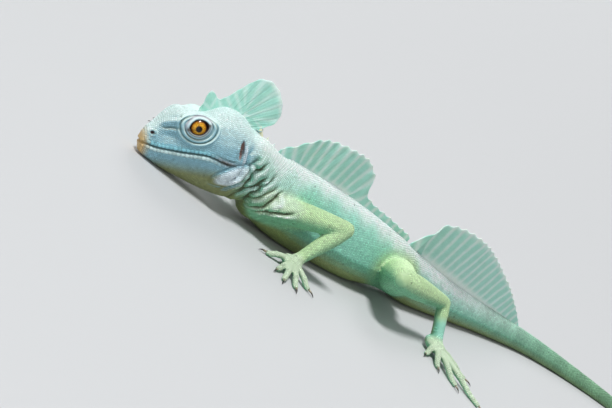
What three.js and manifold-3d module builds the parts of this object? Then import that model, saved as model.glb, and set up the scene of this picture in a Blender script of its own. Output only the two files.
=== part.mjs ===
// Green basilisk lizard, an adult male lying flat with its head raised on its throat
import * as THREE from 'three';
import { mergeVertices } from 'three/addons/utils/BufferGeometryUtils.js';
import Module from 'manifold-3d';

const wasm = await Module();
wasm.setup();

// Driving dimensions in millimetres and degrees.
// +X runs from head to tail, -Y is the animal's left side, Z = 0 is the level it lies on.
const faceGap = 0.3;
const weldDistance = 0.001;

const backHeight = 40;
const bellyHalfWidth = 17.5;
const bellyWidest = 15;
const shoulderX = -50;
const trunkLength = 114;
const bellySink = 1.6;

const headLength = 56;
const headTurn = 15;
const headPitch = 28;
const headRoll = 8;
const headBase = new THREE.Vector3(-121, 15, 1.5);
const eyeRadius = 5.4;
const eyeAlong = 25.9;
const eyeHeight = 16.2;
const eyeInset = 7;
const orbitSize = new THREE.Vector3(8.8, 3.8, 7.3);
const orbitDrop = 0.8;
const mouthHeight = 3.6;
const mouthLength = 45;
const mouthCornerDrop = 2.7;
const lipThickness = 1.25;
const lipSpread = 0.95;
const lipInset = 0.2;
const lidRadius = 5.2;
const lidThickness = 0.8;
const lidOut = 10.6;
const lidFlattening = 0.84;
const nostrilPlace = new THREE.Vector3(3.6, 5.2, 10.2);
const nostrilSize = new THREE.Vector3(0.9, 1.6, 0.7);
const earPlace = new THREE.Vector3(49.6, 13.2, 7.4);
const earSize = new THREE.Vector3(1.1, 2.2, 4.4);
const toothRadius = 2;
const toothHeight = 9;

const tailLengths = 4;
const trunkSides = 28;
const trunkRows = 16;
const tailCrestLength = 175;
const tailCrestHeight = 30;
const dorsalCrestHeight = 22.5;
const crestSink = 3;

const digitSink = 4;
const tipRadius = 1.05;
const clawRadius = 0.8;
const handSize = new THREE.Vector3(6.4, 5.6, 3.1);
const footSize = new THREE.Vector3(6.4, 7.4, 3.7);
const fingerPlan = { digitRadius: 1.55, knuckle: 4, claw: 5 };
const toePlan = { digitRadius: 1.9, knuckle: 4.4, claw: 5.6 };

const skinLook = { mint: 0x9fd8c2, teal: 0x8fcfd0, leg: 0xa9cf93, tail: 0x96cfae, crest: 0xa8dccb };
const eyeLook = 0xc98416;
const clawLook = 0x3a3630;

const radians = THREE.MathUtils.degToRad;
const mix = THREE.MathUtils.lerp;
const clamp = THREE.MathUtils.clamp;
const point = (x, y, z) => new THREE.Vector3(x, y, z);

// A smooth curve of one value through a few stops, each written as [place, value]
function smoothValue(stops) {
  const slopeAt = (index) => {
    const before = stops[Math.max(0, index - 1)];
    const after = stops[Math.min(stops.length - 1, index + 1)];
    return (after[1] - before[1]) / (after[0] - before[0]);
  };
  return (place) => {
    let index = 0;
    while (index < stops.length - 2 && place > stops[index + 1][0]) index += 1;
    const [start, low] = stops[index];
    const [end, high] = stops[index + 1];
    const span = end - start;
    const t = clamp((place - start) / span, 0, 1);
    const bend = t * (1 - t);
    const fromStart = slopeAt(index) * span - (high - low);
    const fromEnd = -slopeAt(index + 1) * span + (high - low);
    return mix(low, high, t) + bend * ((1 - t) * fromStart + t * fromEnd);
  };
}

const bump = (distance, reach) => Math.exp(-((distance / reach) ** 2));
const rounded = (value, power) => Math.sign(value) * Math.abs(value) ** power;

// A closed tube whose every point is put in place by a shape function of
// the fraction along it, the angle round it from the top, and the radius from 0 to 1
function shapedTube(sides, rows, placePoint) {
  const tube = new THREE.CylinderGeometry(1, 1, 1, sides, rows);
  tube.deleteAttribute('normal');
  tube.deleteAttribute('uv');
  const shaped = mergeVertices(tube);
  const places = shaped.getAttribute('position');
  for (let i = 0; i < places.count; i += 1) {
    const radius = Math.min(1, Math.hypot(places.getX(i), places.getZ(i)));
    const angle = Math.atan2(places.getX(i), places.getZ(i));
    const placed = placePoint(0.5 - places.getY(i), angle, radius);
    places.setXYZ(i, placed.x, placed.y, placed.z);
  }
  return shaped;
}

function turned(shape, placement) {
  return shape.clone().applyMatrix4(placement);
}

function solidOf(shape) {
  const bare = shape.clone();
  bare.deleteAttribute('normal');
  bare.deleteAttribute('uv');
  const merged = mergeVertices(bare, weldDistance);
  const vertProperties = new Float32Array(merged.getAttribute('position').array);
  const triVerts = new Uint32Array(merged.index.array);
  return new wasm.Manifold(new wasm.Mesh({ numProp: 3, vertProperties, triVerts }));
}

function geometryOf(solid) {
  const mesh = solid.getMesh();
  const geometry = new THREE.BufferGeometry();
  geometry.setAttribute('position', new THREE.BufferAttribute(mesh.vertProperties, 3));
  geometry.setIndex(new THREE.BufferAttribute(mesh.triVerts, 1));
  return geometry;
}

// Shapes joined, others cut away, and the largest closed body kept
function shapeFrom(joined, removed = []) {
  let solid = solidOf(joined[0]);
  for (const shape of joined.slice(1)) solid = solid.add(solidOf(shape));
  for (const shape of removed) solid = solid.subtract(solidOf(shape));
  const bodies = solid.decompose();
  bodies.sort((first, second) => second.volume() - first.volume());
  return geometryOf(bodies[0]);
}

function pieceOf(name, geometry, colour, roughness, anchor = point(0, 0, 0)) {
  geometry.translate(-anchor.x, -anchor.y, -anchor.z);
  const material = new THREE.MeshStandardMaterial({ color: colour, roughness, metalness: 0 });
  const mesh = new THREE.Mesh(geometry, material);
  mesh.name = name;
  mesh.position.copy(anchor);
  return mesh;
}

// The line of the trunk and tail, seen from above
const bodyLine = new THREE.CatmullRomCurve3([
  point(shoulderX, 0, 0), point(0, 0, 0), point(34, -1, 0), point(62, 1, 0),
  point(95, 5, 0), point(140, 13, 0), point(200, 24, 0), point(265, 31, 0),
  point(330, 24, 0), point(400, 4, 0), point(465, -8, 0), point(540, 8, 0),
]);
bodyLine.arcLengthDivisions = 800;
const bodyLength = bodyLine.getLength();
const tailLength = bodyLength - trunkLength;

function bodyFrame(distance) {
  const fraction = clamp(distance / bodyLength, 0, 1);
  const centre = bodyLine.getPointAt(fraction);
  const along = bodyLine.getTangentAt(fraction);
  return { centre, along, right: point(-along.y, along.x, 0) };
}

// Half width, height of the back, height of the widest level and the reach below it,
// by distance from the shoulders
const bodyHalfWidth = smoothValue([
  [0, 14.5], [28, bellyHalfWidth], [70, bellyHalfWidth - 1], [100, 12.5], [trunkLength, 11.5],
  [150, 9.5], [230, 6.6], [340, 4.3], [460, 2.7], [bodyLength, 1.1],
]);
const bodyTop = smoothValue([
  [0, backHeight + 1], [50, backHeight], [85, 37.5], [trunkLength, 34],
  [150, 28], [230, 19.5], [340, 12], [460, 7], [bodyLength, 2.6],
]);
const bodyWidest = smoothValue([
  [0, 17], [50, bellyWidest], [trunkLength, 15.5], [150, 12.5], [230, 8.6],
  [340, 5.4], [460, 3.1], [bodyLength, 1.1],
]);
const bodyBelow = smoothValue([
  [0, 14], [22, bellyWidest + bellySink], [80, bellyWidest + bellySink], [trunkLength, 13],
  [150, 13], [230, 9.3], [340, 6], [460, 3.6], [bodyLength, 1.5],
]);

// The trunk's section is pear shaped, widest low down and narrow at the spine
function bodyPoint(distance, angle, radius, grow) {
  const { centre, right } = bodyFrame(distance);
  const up = Math.cos(angle);
  const rise = up > 0 ? bodyTop(distance) - bodyWidest(distance) : bodyBelow(distance);
  const narrowing = 1 - 0.3 * Math.max(0, up) ** 0.8;
  const across = (bodyHalfWidth(distance) + grow) * narrowing * rounded(Math.sin(angle), 0.95);
  const height = bodyWidest(distance) + (rise + grow) * rounded(up, 0.92) * radius;
  const placed = centre.clone().addScaledVector(right, across * radius);
  placed.z = Math.max(0, height);
  return placed;
}

function bodyLengthShape(start, end, sides, rows, grow = 0) {
  return shapedTube(sides, rows, (fraction, angle, radius) =>
    bodyPoint(mix(start - grow, end + grow, fraction), angle, radius, grow));
}

// Head, in its own frame: +X from snout to nape, +Z to the crown, origin under the snout tip
const headGroup = new THREE.Group();
headGroup.position.copy(headBase);
headGroup.rotation.set(radians(-headRoll), radians(-headPitch), radians(-headTurn), 'ZYX');
headGroup.updateMatrixWorld();
const headToWorld = headGroup.matrixWorld.clone();
const worldToHead = headToWorld.clone().invert();

const headTop = smoothValue([
  [0, 6.8], [2, 11], [5.5, 14.2], [9, 18.6], [12, 21.4], [15.5, 22.9], [20, 22.6],
  [26, 21.8], [30, 22.4], [39, 25.8], [46, 24.6], [51, 21.4], [headLength, 17],
]);
const headBottom = smoothValue([
  [0, -0.8], [3, -3.2], [12, -8.4], [22, -12.4],
  [34, -16.8], [44, -19.6], [headLength, -21.5],
]);
const headHalfWidth = smoothValue([
  [0, 3], [2.5, 4.6], [8, 6.6], [16, 8.8], [25, 11.2],
  [34, 12.6], [43, 13.3], [50, 12.6], [headLength, 11.2],
]);
const headWidest = smoothValue([[0, 4.5], [15, 5], [28, 5.5], [40, 4.5], [headLength, 2.5]]);
const muzzleSquareness = smoothValue([[0, 0.95], [10, 0.8], [28, 0.86], [headLength, 0.95]]);

function headPoint(fraction, angle, radius, grow) {
  const along = mix(-grow, headLength + grow, fraction);
  const level = headWidest(along);
  const up = Math.cos(angle);
  const side = Math.sin(angle);
  const power = up > 0 ? muzzleSquareness(along) : 1.05;
  const rise = up > 0 ? headTop(along) - level : level - headBottom(along);
  const across = (headHalfWidth(along) + grow) * rounded(side, up > 0 ? power : 0.9);
  const height = level + (rise + grow) * rounded(up, power) * radius;
  const shaped = point(along, across * radius, height);
  const rim = radius > 0.5 ? 1 : 0;
  const brow = rim * bump(along - 16, 6) * bump(height - 20.5, 5) * bump(Math.abs(across) - 6, 3.5);
  const orbit = rim * bump(along - eyeAlong, 9) * bump(height - eyeHeight, 8);
  const jowl = rim * bump(along - 45, 7) * bump(height + 6, 5);
  shaped.z += brow * 1.5;
  shaped.y += Math.sign(across) * (orbit * 1.2 + brow * 0.8 + jowl * 1.3) * Math.abs(side) ** 0.5;
  return keptAboveFloor(shaped);
}

// A point of the head lifted so that its place in the world is no lower than the floor
function keptAboveFloor(local) {
  const world = local.clone().applyMatrix4(headToWorld);
  if (world.z >= 0) return local;
  world.z = 0;
  return world.applyMatrix4(worldToHead);
}

function headShape(grow = 0) {
  return shapedTube(28, 23, (fraction, angle, radius) => headPoint(fraction, angle, radius, grow));
}

function sphereShape(centre, size, acrossSegments, upSegments) {
  const ball = new THREE.SphereGeometry(1, acrossSegments, upSegments);
  ball.scale(size.x, size.y, size.z);
  ball.translate(centre.x, centre.y, centre.z);
  return ball;
}

const evenSize = (radius) => point(radius, radius, radius);
const onSide = (place, side) => point(place.x, side * place.y, place.z);
const eyeCentre = (side) => point(eyeAlong, side * eyeInset, eyeHeight);

// The lids: a ring lying against the orbit, leaning with the side of the head
function lidRing(side) {
  const ring = new THREE.TorusGeometry(lidRadius, lidThickness, 6, 18);
  ring.scale(1, lidFlattening, 1);
  ring.rotateX(radians(90 + side * 14));
  ring.rotateZ(radians(side * 8));
  ring.translate(eyeAlong, side * lidOut, eyeHeight);
  return ring;
}

// One lip: a soft ridge that follows the jaw from the mouth corner round the snout to the other corner
function lipShape(height) {
  const route = [];
  const steps = 9;
  for (let step = -steps; step <= steps; step += 1) {
    const share = Math.abs(step) / steps;
    const along = mix(0.6, mouthLength, share ** 1.5);
    const across = (lipSpread * headHalfWidth(along) - lipInset) * clamp(share * 3.4, 0, 1);
    const cornerDrop = mouthCornerDrop * Math.max(0, share - 0.8) / 0.2;
    route.push(point(along, Math.sign(step) * across, height - cornerDrop));
  }
  const path = new THREE.CatmullRomCurve3(route);
  const section = new THREE.Shape();
  section.absellipse(0, 0, lipThickness, lipThickness * 0.9, 0, Math.PI * 2);
  const lip = new THREE.ExtrudeGeometry(section, {
    extrudePath: path, steps: 22, curveSegments: 3, bevelEnabled: false,
  });
  const places = lip.getAttribute('position');
  for (let i = 0; i < places.count; i += 1) {
    const kept = keptAboveFloor(point(places.getX(i), places.getY(i), places.getZ(i)));
    places.setXYZ(i, kept.x, kept.y, kept.z);
  }
  return lip;
}

function headSolid() {
  const lipStep = 0.95 * lipThickness;
  const joined = [headShape(), lipShape(mouthHeight + lipStep), lipShape(mouthHeight - lipStep)];
  const removed = [];
  for (const side of [-1, 1]) {
    const socket = point(eyeAlong, side * eyeInset, eyeHeight - orbitDrop);
    joined.push(sphereShape(socket, orbitSize, 18, 12));
    joined.push(lidRing(side));
    removed.push(sphereShape(eyeCentre(side), evenSize(eyeRadius + faceGap), 20, 14));
    removed.push(sphereShape(onSide(nostrilPlace, side), nostrilSize, 8, 6));
    removed.push(sphereShape(onSide(earPlace, side), earSize, 10, 8));
  }
  return shapeFrom(joined, removed);
}

// The neck turns smoothly from the plane of the nape to the plane of the shoulders
const neckStart = {
  centre: point(headLength, 0, headWidest(headLength)).applyMatrix4(headToWorld),
  turn: new THREE.Quaternion().setFromEuler(headGroup.rotation),
  halfWidth: headHalfWidth(headLength), top: headTop(headLength) - headWidest(headLength),
  bottom: headWidest(headLength) - headBottom(headLength),
};
const neckEnd = {
  centre: point(shoulderX, 0, bodyWidest(0)), turn: new THREE.Quaternion(),
  halfWidth: bodyHalfWidth(0), top: bodyTop(0) - bodyWidest(0), bottom: bodyBelow(0),
};
const neckPath = new THREE.CubicBezierCurve3(
  neckStart.centre,
  point(11, 0, 0).applyQuaternion(neckStart.turn).add(neckStart.centre),
  neckEnd.centre.clone().add(point(-12, 0, 0)),
  neckEnd.centre,
);
const neckLength = neckPath.getLength();

function neckPoint(fraction, angle, radius, grow) {
  const inset = grow > 0 ? -2 * grow / neckLength : faceGap / neckLength;
  const share = mix(inset, 1 - inset, fraction);
  const turn = neckStart.turn.clone().slerp(neckEnd.turn, share);
  const up = Math.cos(angle);
  const waist = 1 - 0.06 * Math.sin(Math.PI * share);
  const halfWidth = mix(neckStart.halfWidth, neckEnd.halfWidth, share) * waist + grow;
  const rise = up > 0
    ? mix(neckStart.top, neckEnd.top, share) * waist + grow
    : mix(neckStart.bottom, neckEnd.bottom, share) + grow;
  const narrowing = 1 - 0.3 * share * Math.max(0, up) ** 0.8;
  const across = halfWidth * narrowing * rounded(Math.sin(angle), 0.93) * radius;
  const offset = point(0, across, rise * rounded(up, 0.94) * radius);
  const placed = offset.applyQuaternion(turn).add(neckPath.getPoint(share));
  placed.z = Math.max(0, placed.z);
  return placed;
}

function neckShape(grow = 0) {
  return shapedTube(24, 8, (fraction, angle, radius) => neckPoint(fraction, angle, radius, grow));
}

// Pale spine at the nape, sunk in the front of the neck
function napeTooth(grow = 0) {
  const tooth = new THREE.ConeGeometry(toothRadius + grow, toothHeight + 4 * grow, 7, 1);
  tooth.rotateX(radians(90));
  tooth.rotateY(radians(14));
  tooth.translate(headLength + 3.4, 0, 15);
  return turned(tooth, headToWorld);
}

// A crest: a thin fin between a root line and an edge line. Its rays are ridges
// of the fin's own surface, and both faces are split into triangles alike.
function finShape({ root, edge, leftward, rays, columns, rows, rootHalf, edgeHalf, rayHalf }) {
  const rim = 0.012;
  const eased = (index, last) => {
    if (index === 0 || index === last) return index / last;
    return mix(rim, 1 - rim, (index - 1) / (last - 2));
  };
  const face = (turn) => {
    const sheet = new THREE.PlaneGeometry(1, 1, columns, rows);
    sheet.deleteAttribute('normal');
    sheet.deleteAttribute('uv');
    const places = sheet.getAttribute('position');
    for (let i = 0; i < places.count; i += 1) {
      const column = i % (columns + 1);
      const row = rows - Math.floor(i / (columns + 1));
      const u = eased(column, columns);
      const v = eased(row, rows);
      const onRim = column === 0 || column === columns || row === 0 || row === rows;
      const ray = rays > 0 ? 0.5 + 0.5 * Math.cos(2 * Math.PI * (rays * u - 0.5)) : 0;
      const half = onRim ? 0 : mix(rootHalf, edgeHalf, v) + rayHalf * ray * (1 - 0.5 * v);
      const placed = root(u).lerp(edge(u), v).addScaledVector(leftward(u, v), turn * half);
      places.setXYZ(i, placed.x, placed.y, placed.z);
    }
    if (turn < 0) {
      const order = sheet.index.array;
      for (let i = 0; i < order.length; i += 3) {
        [order[i], order[i + 1]] = [order[i + 1], order[i]];
      }
    }
    return sheet;
  };
  return joinedFaces(face(1), face(-1));
}

function joinedFaces(front, back) {
  const frontPlaces = front.getAttribute('position').array;
  const backPlaces = back.getAttribute('position').array;
  const places = new Float32Array(frontPlaces.length + backPlaces.length);
  places.set(frontPlaces);
  places.set(backPlaces, frontPlaces.length);
  const shift = frontPlaces.length / 3;
  const order = [...front.index.array, ...Array.from(back.index.array, (index) => index + shift)];
  const fin = new THREE.BufferGeometry();
  fin.setAttribute('position', new THREE.BufferAttribute(places, 3));
  fin.setIndex(order);
  return mergeVertices(fin, weldDistance);
}

// How far a place along the edge lies between two ray tips, from 0 at a tip to 1 midway
const scallop = (u, rays) => 0.5 - 0.5 * Math.cos(2 * Math.PI * (rays * u - 0.5));

// Head crest: a small pointed lobe in front and a large fan that overhangs the nape
const headCrestRays = 11;
const headCrestEdge = new THREE.CatmullRomCurve3([
  point(26.5, 0, 20.5), point(29, 0, 27.5), point(31.6, 0, 33), point(34, 0, 31.2),
  point(37.5, 0, 29.4), point(45, 0, 34.6), point(53, 0, 40.6), point(57.5, 0, 41.9),
  point(62.5, 0, 40.6), point(66.6, 0, 36.6), point(69, 0, 31.5), point(70, 0, 26),
  point(68, 0, 20.5), point(62.5, 0, 17.5), point(57, 0, 14),
], false, 'centripetal');

function headCrestSolid(neckInHead) {
  const rootSink = 2.5;
  const root = (u) => {
    const along = mix(27.5, headLength - 0.6, u);
    return point(along, 0, headTop(along) - rootSink);
  };
  const lean = (u, v) => 1.4 * Math.sin(Math.PI * u) * v;
  const edge = (u) => {
    const placed = headCrestEdge.getPointAt(u);
    placed.y += lean(u, 1);
    placed.z -= 0.7 * scallop(u, headCrestRays);
    return placed;
  };
  const fin = finShape({
    root, edge, leftward: () => point(0, -1, 0), rays: headCrestRays, columns: 35, rows: 5,
    rootHalf: 0.8, edgeHalf: 0.32, rayHalf: 0.4,
  });
  return shapeFrom([fin], [headShape(faceGap), ...neckInHead]);
}

// Dorsal crest: high over the shoulders and mid back, then a low ridge to the hips
const dorsalRays = 17;
const dorsalStart = -13;
const dorsalEnd = 108;
const dorsalTop = smoothValue([
  [dorsalStart, 2], [-6, 12], [1, 17.5], [13, 21], [25, dorsalCrestHeight],
  [36, 22], [44, 19], [50, 15.5], [55, 7.5], [64, 4.5], [dorsalEnd, 3.5],
]);

function backPoint(distance) {
  if (distance >= 0) {
    const { centre } = bodyFrame(distance);
    centre.z = bodyTop(distance);
    return centre;
  }
  return neckPoint(1 + distance / neckLength, 0, 1, 0);
}

function dorsalCrestSolid(removed) {
  const at = (u) => mix(dorsalStart, dorsalEnd, u ** 1.15);
  const root = (u) => backPoint(at(u)).add(point(0, 0, -crestSink));
  const edge = (u) => {
    const height = dorsalTop(at(u)) * (1 - 0.1 * scallop(u, dorsalRays));
    const wave = 0.9 * Math.sin(at(u) * 0.19);
    const leanBack = 0.24 * height;
    return backPoint(at(u)).add(point(leanBack, wave * height / dorsalCrestHeight, height));
  };
  const fin = finShape({
    root, edge, leftward: () => point(0, -1, 0), rays: dorsalRays, columns: 53, rows: 4,
    rootHalf: 0.95, edgeHalf: 0.34, rayHalf: 0.45,
  });
  return shapeFrom([fin], removed);
}

// Tail crest: rises behind the hips and falls slowly along the first third of the tail
const tailRays = 18;
const tailCrestStart = trunkLength - 2;
const tailCrestTop = smoothValue([
  [0, 2], [8, 15], [16, 23.5], [36, tailCrestHeight - 1], [60, tailCrestHeight],
  [90, 26], [125, 18], [155, 9], [tailCrestLength, 1.5],
]);

function tailCrestSolid(removed) {
  const at = (u) => tailCrestStart + tailCrestLength * u;
  const root = (u) => backPoint(at(u)).add(point(0, 0, -crestSink));
  const edge = (u) => {
    const height = tailCrestTop(tailCrestLength * u) * (1 - 0.09 * scallop(u, tailRays));
    const { along, right } = bodyFrame(at(u));
    const wave = 0.8 * Math.sin(u * 15);
    const placed = backPoint(at(u)).addScaledVector(along, 0.2 * height);
    return placed.addScaledVector(right, wave).add(point(0, 0, height));
  };
  const fin = finShape({
    root, edge, leftward: (u) => bodyFrame(at(u)).right.negate(), rays: tailRays, columns: 56, rows: 3,
    rootHalf: 0.9, edgeHalf: 0.34, rayHalf: 0.42,
  });
  return shapeFrom([fin], removed);
}

// A limb length between two joints, round ended, with its radius given by fraction
function limbShape(from, to, radiusStops, sides, rows, grow = 0) {
  const radiusAt = smoothValue(radiusStops);
  const reach = to.clone().sub(from);
  const length = reach.length();
  const turn = new THREE.Quaternion().setFromUnitVectors(point(1, 0, 0), reach.clone().normalize());
  return shapedTube(sides, rows, (fraction, angle, radius) => {
    const startRadius = radiusAt(0) + grow;
    const endRadius = radiusAt(1) + grow;
    const place = mix(-startRadius, length + endRadius, 0.5 - 0.5 * Math.cos(Math.PI * fraction));
    const share = clamp(place / length, 0, 1);
    const beyond = place < 0 ? place / startRadius : Math.max(0, place - length) / endRadius;
    const full = (radiusAt(share) + grow) * Math.sqrt(Math.max(0, 1 - beyond ** 2)) * radius;
    const offset = point(place, full * Math.sin(angle), full * Math.cos(angle));
    return offset.applyQuaternion(turn).add(from);
  });
}

// A finger or toe: a tapering tube along a bent line, flat where it lies on the floor
function digitShape(line, startRadius, endRadius, sides, rows) {
  return shapedTube(sides, rows, (fraction, angle, radius) => {
    const centre = line.getPoint(fraction);
    const along = line.getTangent(fraction);
    const right = point(-along.y, along.x, 0).normalize();
    const up = along.clone().cross(right);
    const full = mix(startRadius, endRadius, fraction) * radius;
    const placed = centre.addScaledVector(right, full * Math.sin(angle));
    placed.addScaledVector(up, full * Math.cos(angle));
    placed.z = Math.max(0, placed.z);
    return placed;
  });
}

// The bent line of one digit: out of the palm, over a knuckle, down to the floor
function digitLine(palm, angle, length, knuckleHeight) {
  const outward = point(Math.cos(angle), Math.sin(angle), 0);
  const place = (distance, height) => palm.clone().addScaledVector(outward, distance).setZ(height);
  return new THREE.CatmullRomCurve3([
    place(0, palm.z), place(digitSink, palm.z), place(digitSink + length * 0.4, knuckleHeight),
    place(digitSink + length * 0.75, tipRadius + 0.5), place(digitSink + length, tipRadius),
  ]);
}

function clawShape(line, length) {
  const tip = line.getPoint(1);
  const along = line.getTangent(1).setZ(0).normalize();
  const clawLine = new THREE.QuadraticBezierCurve3(
    tip.clone().addScaledVector(along, faceGap + 0.05).setZ(tipRadius + 0.1),
    tip.clone().addScaledVector(along, length * 0.6).setZ(tipRadius + 0.7),
    tip.clone().addScaledVector(along, length).setZ(0.2),
  );
  return digitShape(clawLine, clawRadius, 0.16, 5, 3);
}

// Limb joints in the world, with the digits' directions from +X toward +Y and their lengths
const foreRadii = {
  upper: [[0, 7], [0.45, 6.7], [1, 4.5]], lower: [[0, 4.4], [0.35, 4.6], [1, 3.2]],
};
const hindRadii = {
  upper: [[0, 10.5], [0.4, 10.2], [1, 6.6]], lower: [[0, 6.4], [0.3, 6.8], [1, 3.6]],
};
const limbPlans = [
  {
    side: 'left', kind: 'fore', names: ['upper_arm', 'forearm', 'hand', 'finger'], radii: foreRadii,
    joints: [point(-49, -11, 18), point(-17, -29.5, 32), point(-29.5, -31, 8.5)],
    palm: point(-34, -32.5, 3.6), palmSize: handSize, ...fingerPlan,
    digits: [[168, 12], [213, 16], [228, 22], [246, 20], [285, 13]],
  },
  {
    side: 'right', kind: 'fore', names: ['upper_arm', 'forearm', 'hand', 'finger'], radii: foreRadii,
    joints: [point(-49, 11, 18), point(-33, 38, 27), point(-51, 49, 8.5)],
    palm: point(-55.5, 51.5, 3.6), palmSize: handSize, ...fingerPlan,
    digits: [[205, 12], [178, 16], [155, 22], [132, 20], [92, 13]],
  },
  {
    side: 'left', kind: 'hind', names: ['thigh', 'shank', 'foot', 'toe'], radii: hindRadii,
    joints: [point(62, -10, 17), point(33, -38, 26), point(84, -30, 24)],
    palm: point(86, -44, 4.6), palmSize: footSize, ...toePlan,
    digits: [[216, 11], [242, 18], [262, 28], [280, 40], [318, 21]],
  },
  {
    side: 'right', kind: 'hind', names: ['thigh', 'shank', 'foot', 'toe'], radii: hindRadii,
    joints: [point(62, 10, 17), point(36, 38, 24), point(86, 42, 18)],
    palm: point(85, 59, 4.6), palmSize: footSize, ...toePlan,
    digits: [[156, 11], [130, 18], [112, 28], [94, 40], [54, 21]],
  },
];

function footSolid(plan, forearmGrown) {
  const wrist = plan.joints[2];
  const wristRadius = plan.radii.lower[2][1] + 0.2;
  const instep = limbShape(wrist, plan.palm, [[0, wristRadius], [1, plan.palmSize.z]], 10, 5);
  const pad = sphereShape(plan.palm, plan.palmSize, 10, 6);
  flattenOnFloor(instep);
  flattenOnFloor(pad);
  const digits = plan.digits.map(([angle, length]) => {
    const line = digitLine(plan.palm, radians(angle), length, plan.knuckle);
    return digitShape(line, plan.digitRadius + 0.25, tipRadius, 6, 5);
  });
  return shapeFrom([instep, pad, ...digits], [forearmGrown]);
}

function flattenOnFloor(shape) {
  const places = shape.getAttribute('position');
  for (let i = 0; i < places.count; i += 1) places.setZ(i, Math.max(0, places.getZ(i)));
}

function limbPieces(plan, trunkGrown) {
  const [root, bend, end] = plan.joints;
  const [upperName, lowerName, footName, digitName] = plan.names;
  const upper = (grow) => limbShape(root, bend, plan.radii.upper, 16, 10, grow);
  const lower = (grow) => limbShape(bend, end, plan.radii.lower, 14, 10, grow);
  const limb = new THREE.Group();
  const add = (name, shape, anchor, colour) => limb.add(pieceOf(name, shape, colour, 0.65, anchor));
  add(`${upperName}_${plan.side}`, shapeFrom([upper(0)], trunkGrown), root, skinLook.leg);
  const lowerShape = shapeFrom([lower(0)], [upper(faceGap), ...trunkGrown]);
  add(`${lowerName}_${plan.side}`, lowerShape, bend, skinLook.leg);
  add(`${footName}_${plan.side}`, footSolid(plan, lower(faceGap)), end, skinLook.leg);
  plan.digits.forEach(([angle, length], index) => {
    const line = digitLine(plan.palm, radians(angle), length, plan.knuckle);
    const claw = clawShape(line, plan.claw);
    add(`${digitName}_claw_${plan.side}_${index + 1}`, claw, line.getPoint(1), clawLook);
  });
  return limb;
}

const basilisk = new THREE.Group();

const eyeShape = (side) => sphereShape(eyeCentre(side), evenSize(eyeRadius), 16, 12);
const neckGrown = [neckShape(faceGap), napeTooth(faceGap)];
const neckInHead = neckGrown.map((shape) => turned(shape, worldToHead));
headGroup.add(pieceOf('head', headSolid(), skinLook.teal, 0.6));
headGroup.add(pieceOf('eye_left', eyeShape(-1), eyeLook, 0.1, eyeCentre(-1)));
headGroup.add(pieceOf('eye_right', eyeShape(1), eyeLook, 0.1, eyeCentre(1)));
headGroup.add(pieceOf('head_crest', headCrestSolid(neckInHead), skinLook.crest, 0.6));
basilisk.add(headGroup);

const headGrown = turned(headShape(faceGap), headToWorld);
const neckSolid = shapeFrom([neckShape(), napeTooth()], [headGrown]);
basilisk.add(pieceOf('neck', neckSolid, skinLook.mint, 0.65, neckStart.centre));
const trunkShape = (grow) => bodyLengthShape(0, trunkLength, trunkSides, trunkRows, grow);
basilisk.add(pieceOf('torso', trunkShape(0), skinLook.mint, 0.65));

const tailRows = [10, 10, 9, 9];
const tailSides = [20, 16, 14, 12];
for (let index = 0; index < tailLengths; index += 1) {
  const start = trunkLength + faceGap + tailLength * index / tailLengths;
  const end = trunkLength + tailLength * (index + 1) / tailLengths - (index === tailLengths - 1 ? 1 : 0);
  const length = bodyLengthShape(start, end, tailSides[index], tailRows[index]);
  basilisk.add(pieceOf(`tail_${index + 1}`, length, skinLook.tail, 0.65, bodyFrame(start).centre));
}

const trunkGrown = trunkShape(faceGap);
const tailGrown = [0, 1].map((index) => bodyLengthShape(
  trunkLength + tailLength * index / tailLengths,
  trunkLength + tailLength * (index + 1) / tailLengths, tailSides[index], tailRows[index], faceGap,
));
const dorsalCrest = dorsalCrestSolid([trunkGrown, neckShape(faceGap)]);
const tailCrest = tailCrestSolid([trunkGrown, ...tailGrown]);
basilisk.add(pieceOf('dorsal_crest', dorsalCrest, skinLook.crest, 0.6));
basilisk.add(pieceOf('tail_crest', tailCrest, skinLook.crest, 0.6));

for (const plan of limbPlans) {
  const behindOrAhead = plan.kind === 'fore' ? neckShape(faceGap) : tailGrown[0];
  basilisk.add(limbPieces(plan, [trunkGrown, behindOrAhead]));
}

export default basilisk;
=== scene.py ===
"""Green basilisk lizard: skin, scales, crests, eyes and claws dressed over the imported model."""

import logging
import math
from dataclasses import dataclass, field
from enum import Enum
from typing import Callable, Optional, Sequence

import bpy
import numpy as np
from mathutils import Matrix, Vector
from mathutils.bvhtree import BVHTree


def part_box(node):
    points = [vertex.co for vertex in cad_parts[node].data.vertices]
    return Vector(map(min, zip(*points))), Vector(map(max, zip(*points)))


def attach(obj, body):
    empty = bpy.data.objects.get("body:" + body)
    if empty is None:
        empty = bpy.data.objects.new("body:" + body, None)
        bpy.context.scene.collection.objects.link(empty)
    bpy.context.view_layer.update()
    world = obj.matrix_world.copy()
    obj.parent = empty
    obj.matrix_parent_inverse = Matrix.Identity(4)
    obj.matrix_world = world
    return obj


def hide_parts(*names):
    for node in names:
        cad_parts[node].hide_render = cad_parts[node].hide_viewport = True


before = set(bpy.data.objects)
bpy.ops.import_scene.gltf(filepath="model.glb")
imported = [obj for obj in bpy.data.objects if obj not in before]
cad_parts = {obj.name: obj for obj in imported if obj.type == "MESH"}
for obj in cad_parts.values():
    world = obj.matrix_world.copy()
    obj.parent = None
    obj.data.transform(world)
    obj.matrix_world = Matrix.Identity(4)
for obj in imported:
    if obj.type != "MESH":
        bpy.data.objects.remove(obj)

LOG = logging.getLogger("basilisk")
MM = 0.001
SEED = 20817
BAKE_MAP = "OFBake"
COLOUR_NAME = "hide_colour"
NODE_WELD = 0.02 * MM
SEAM_WELD = 0.01 * MM

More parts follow.
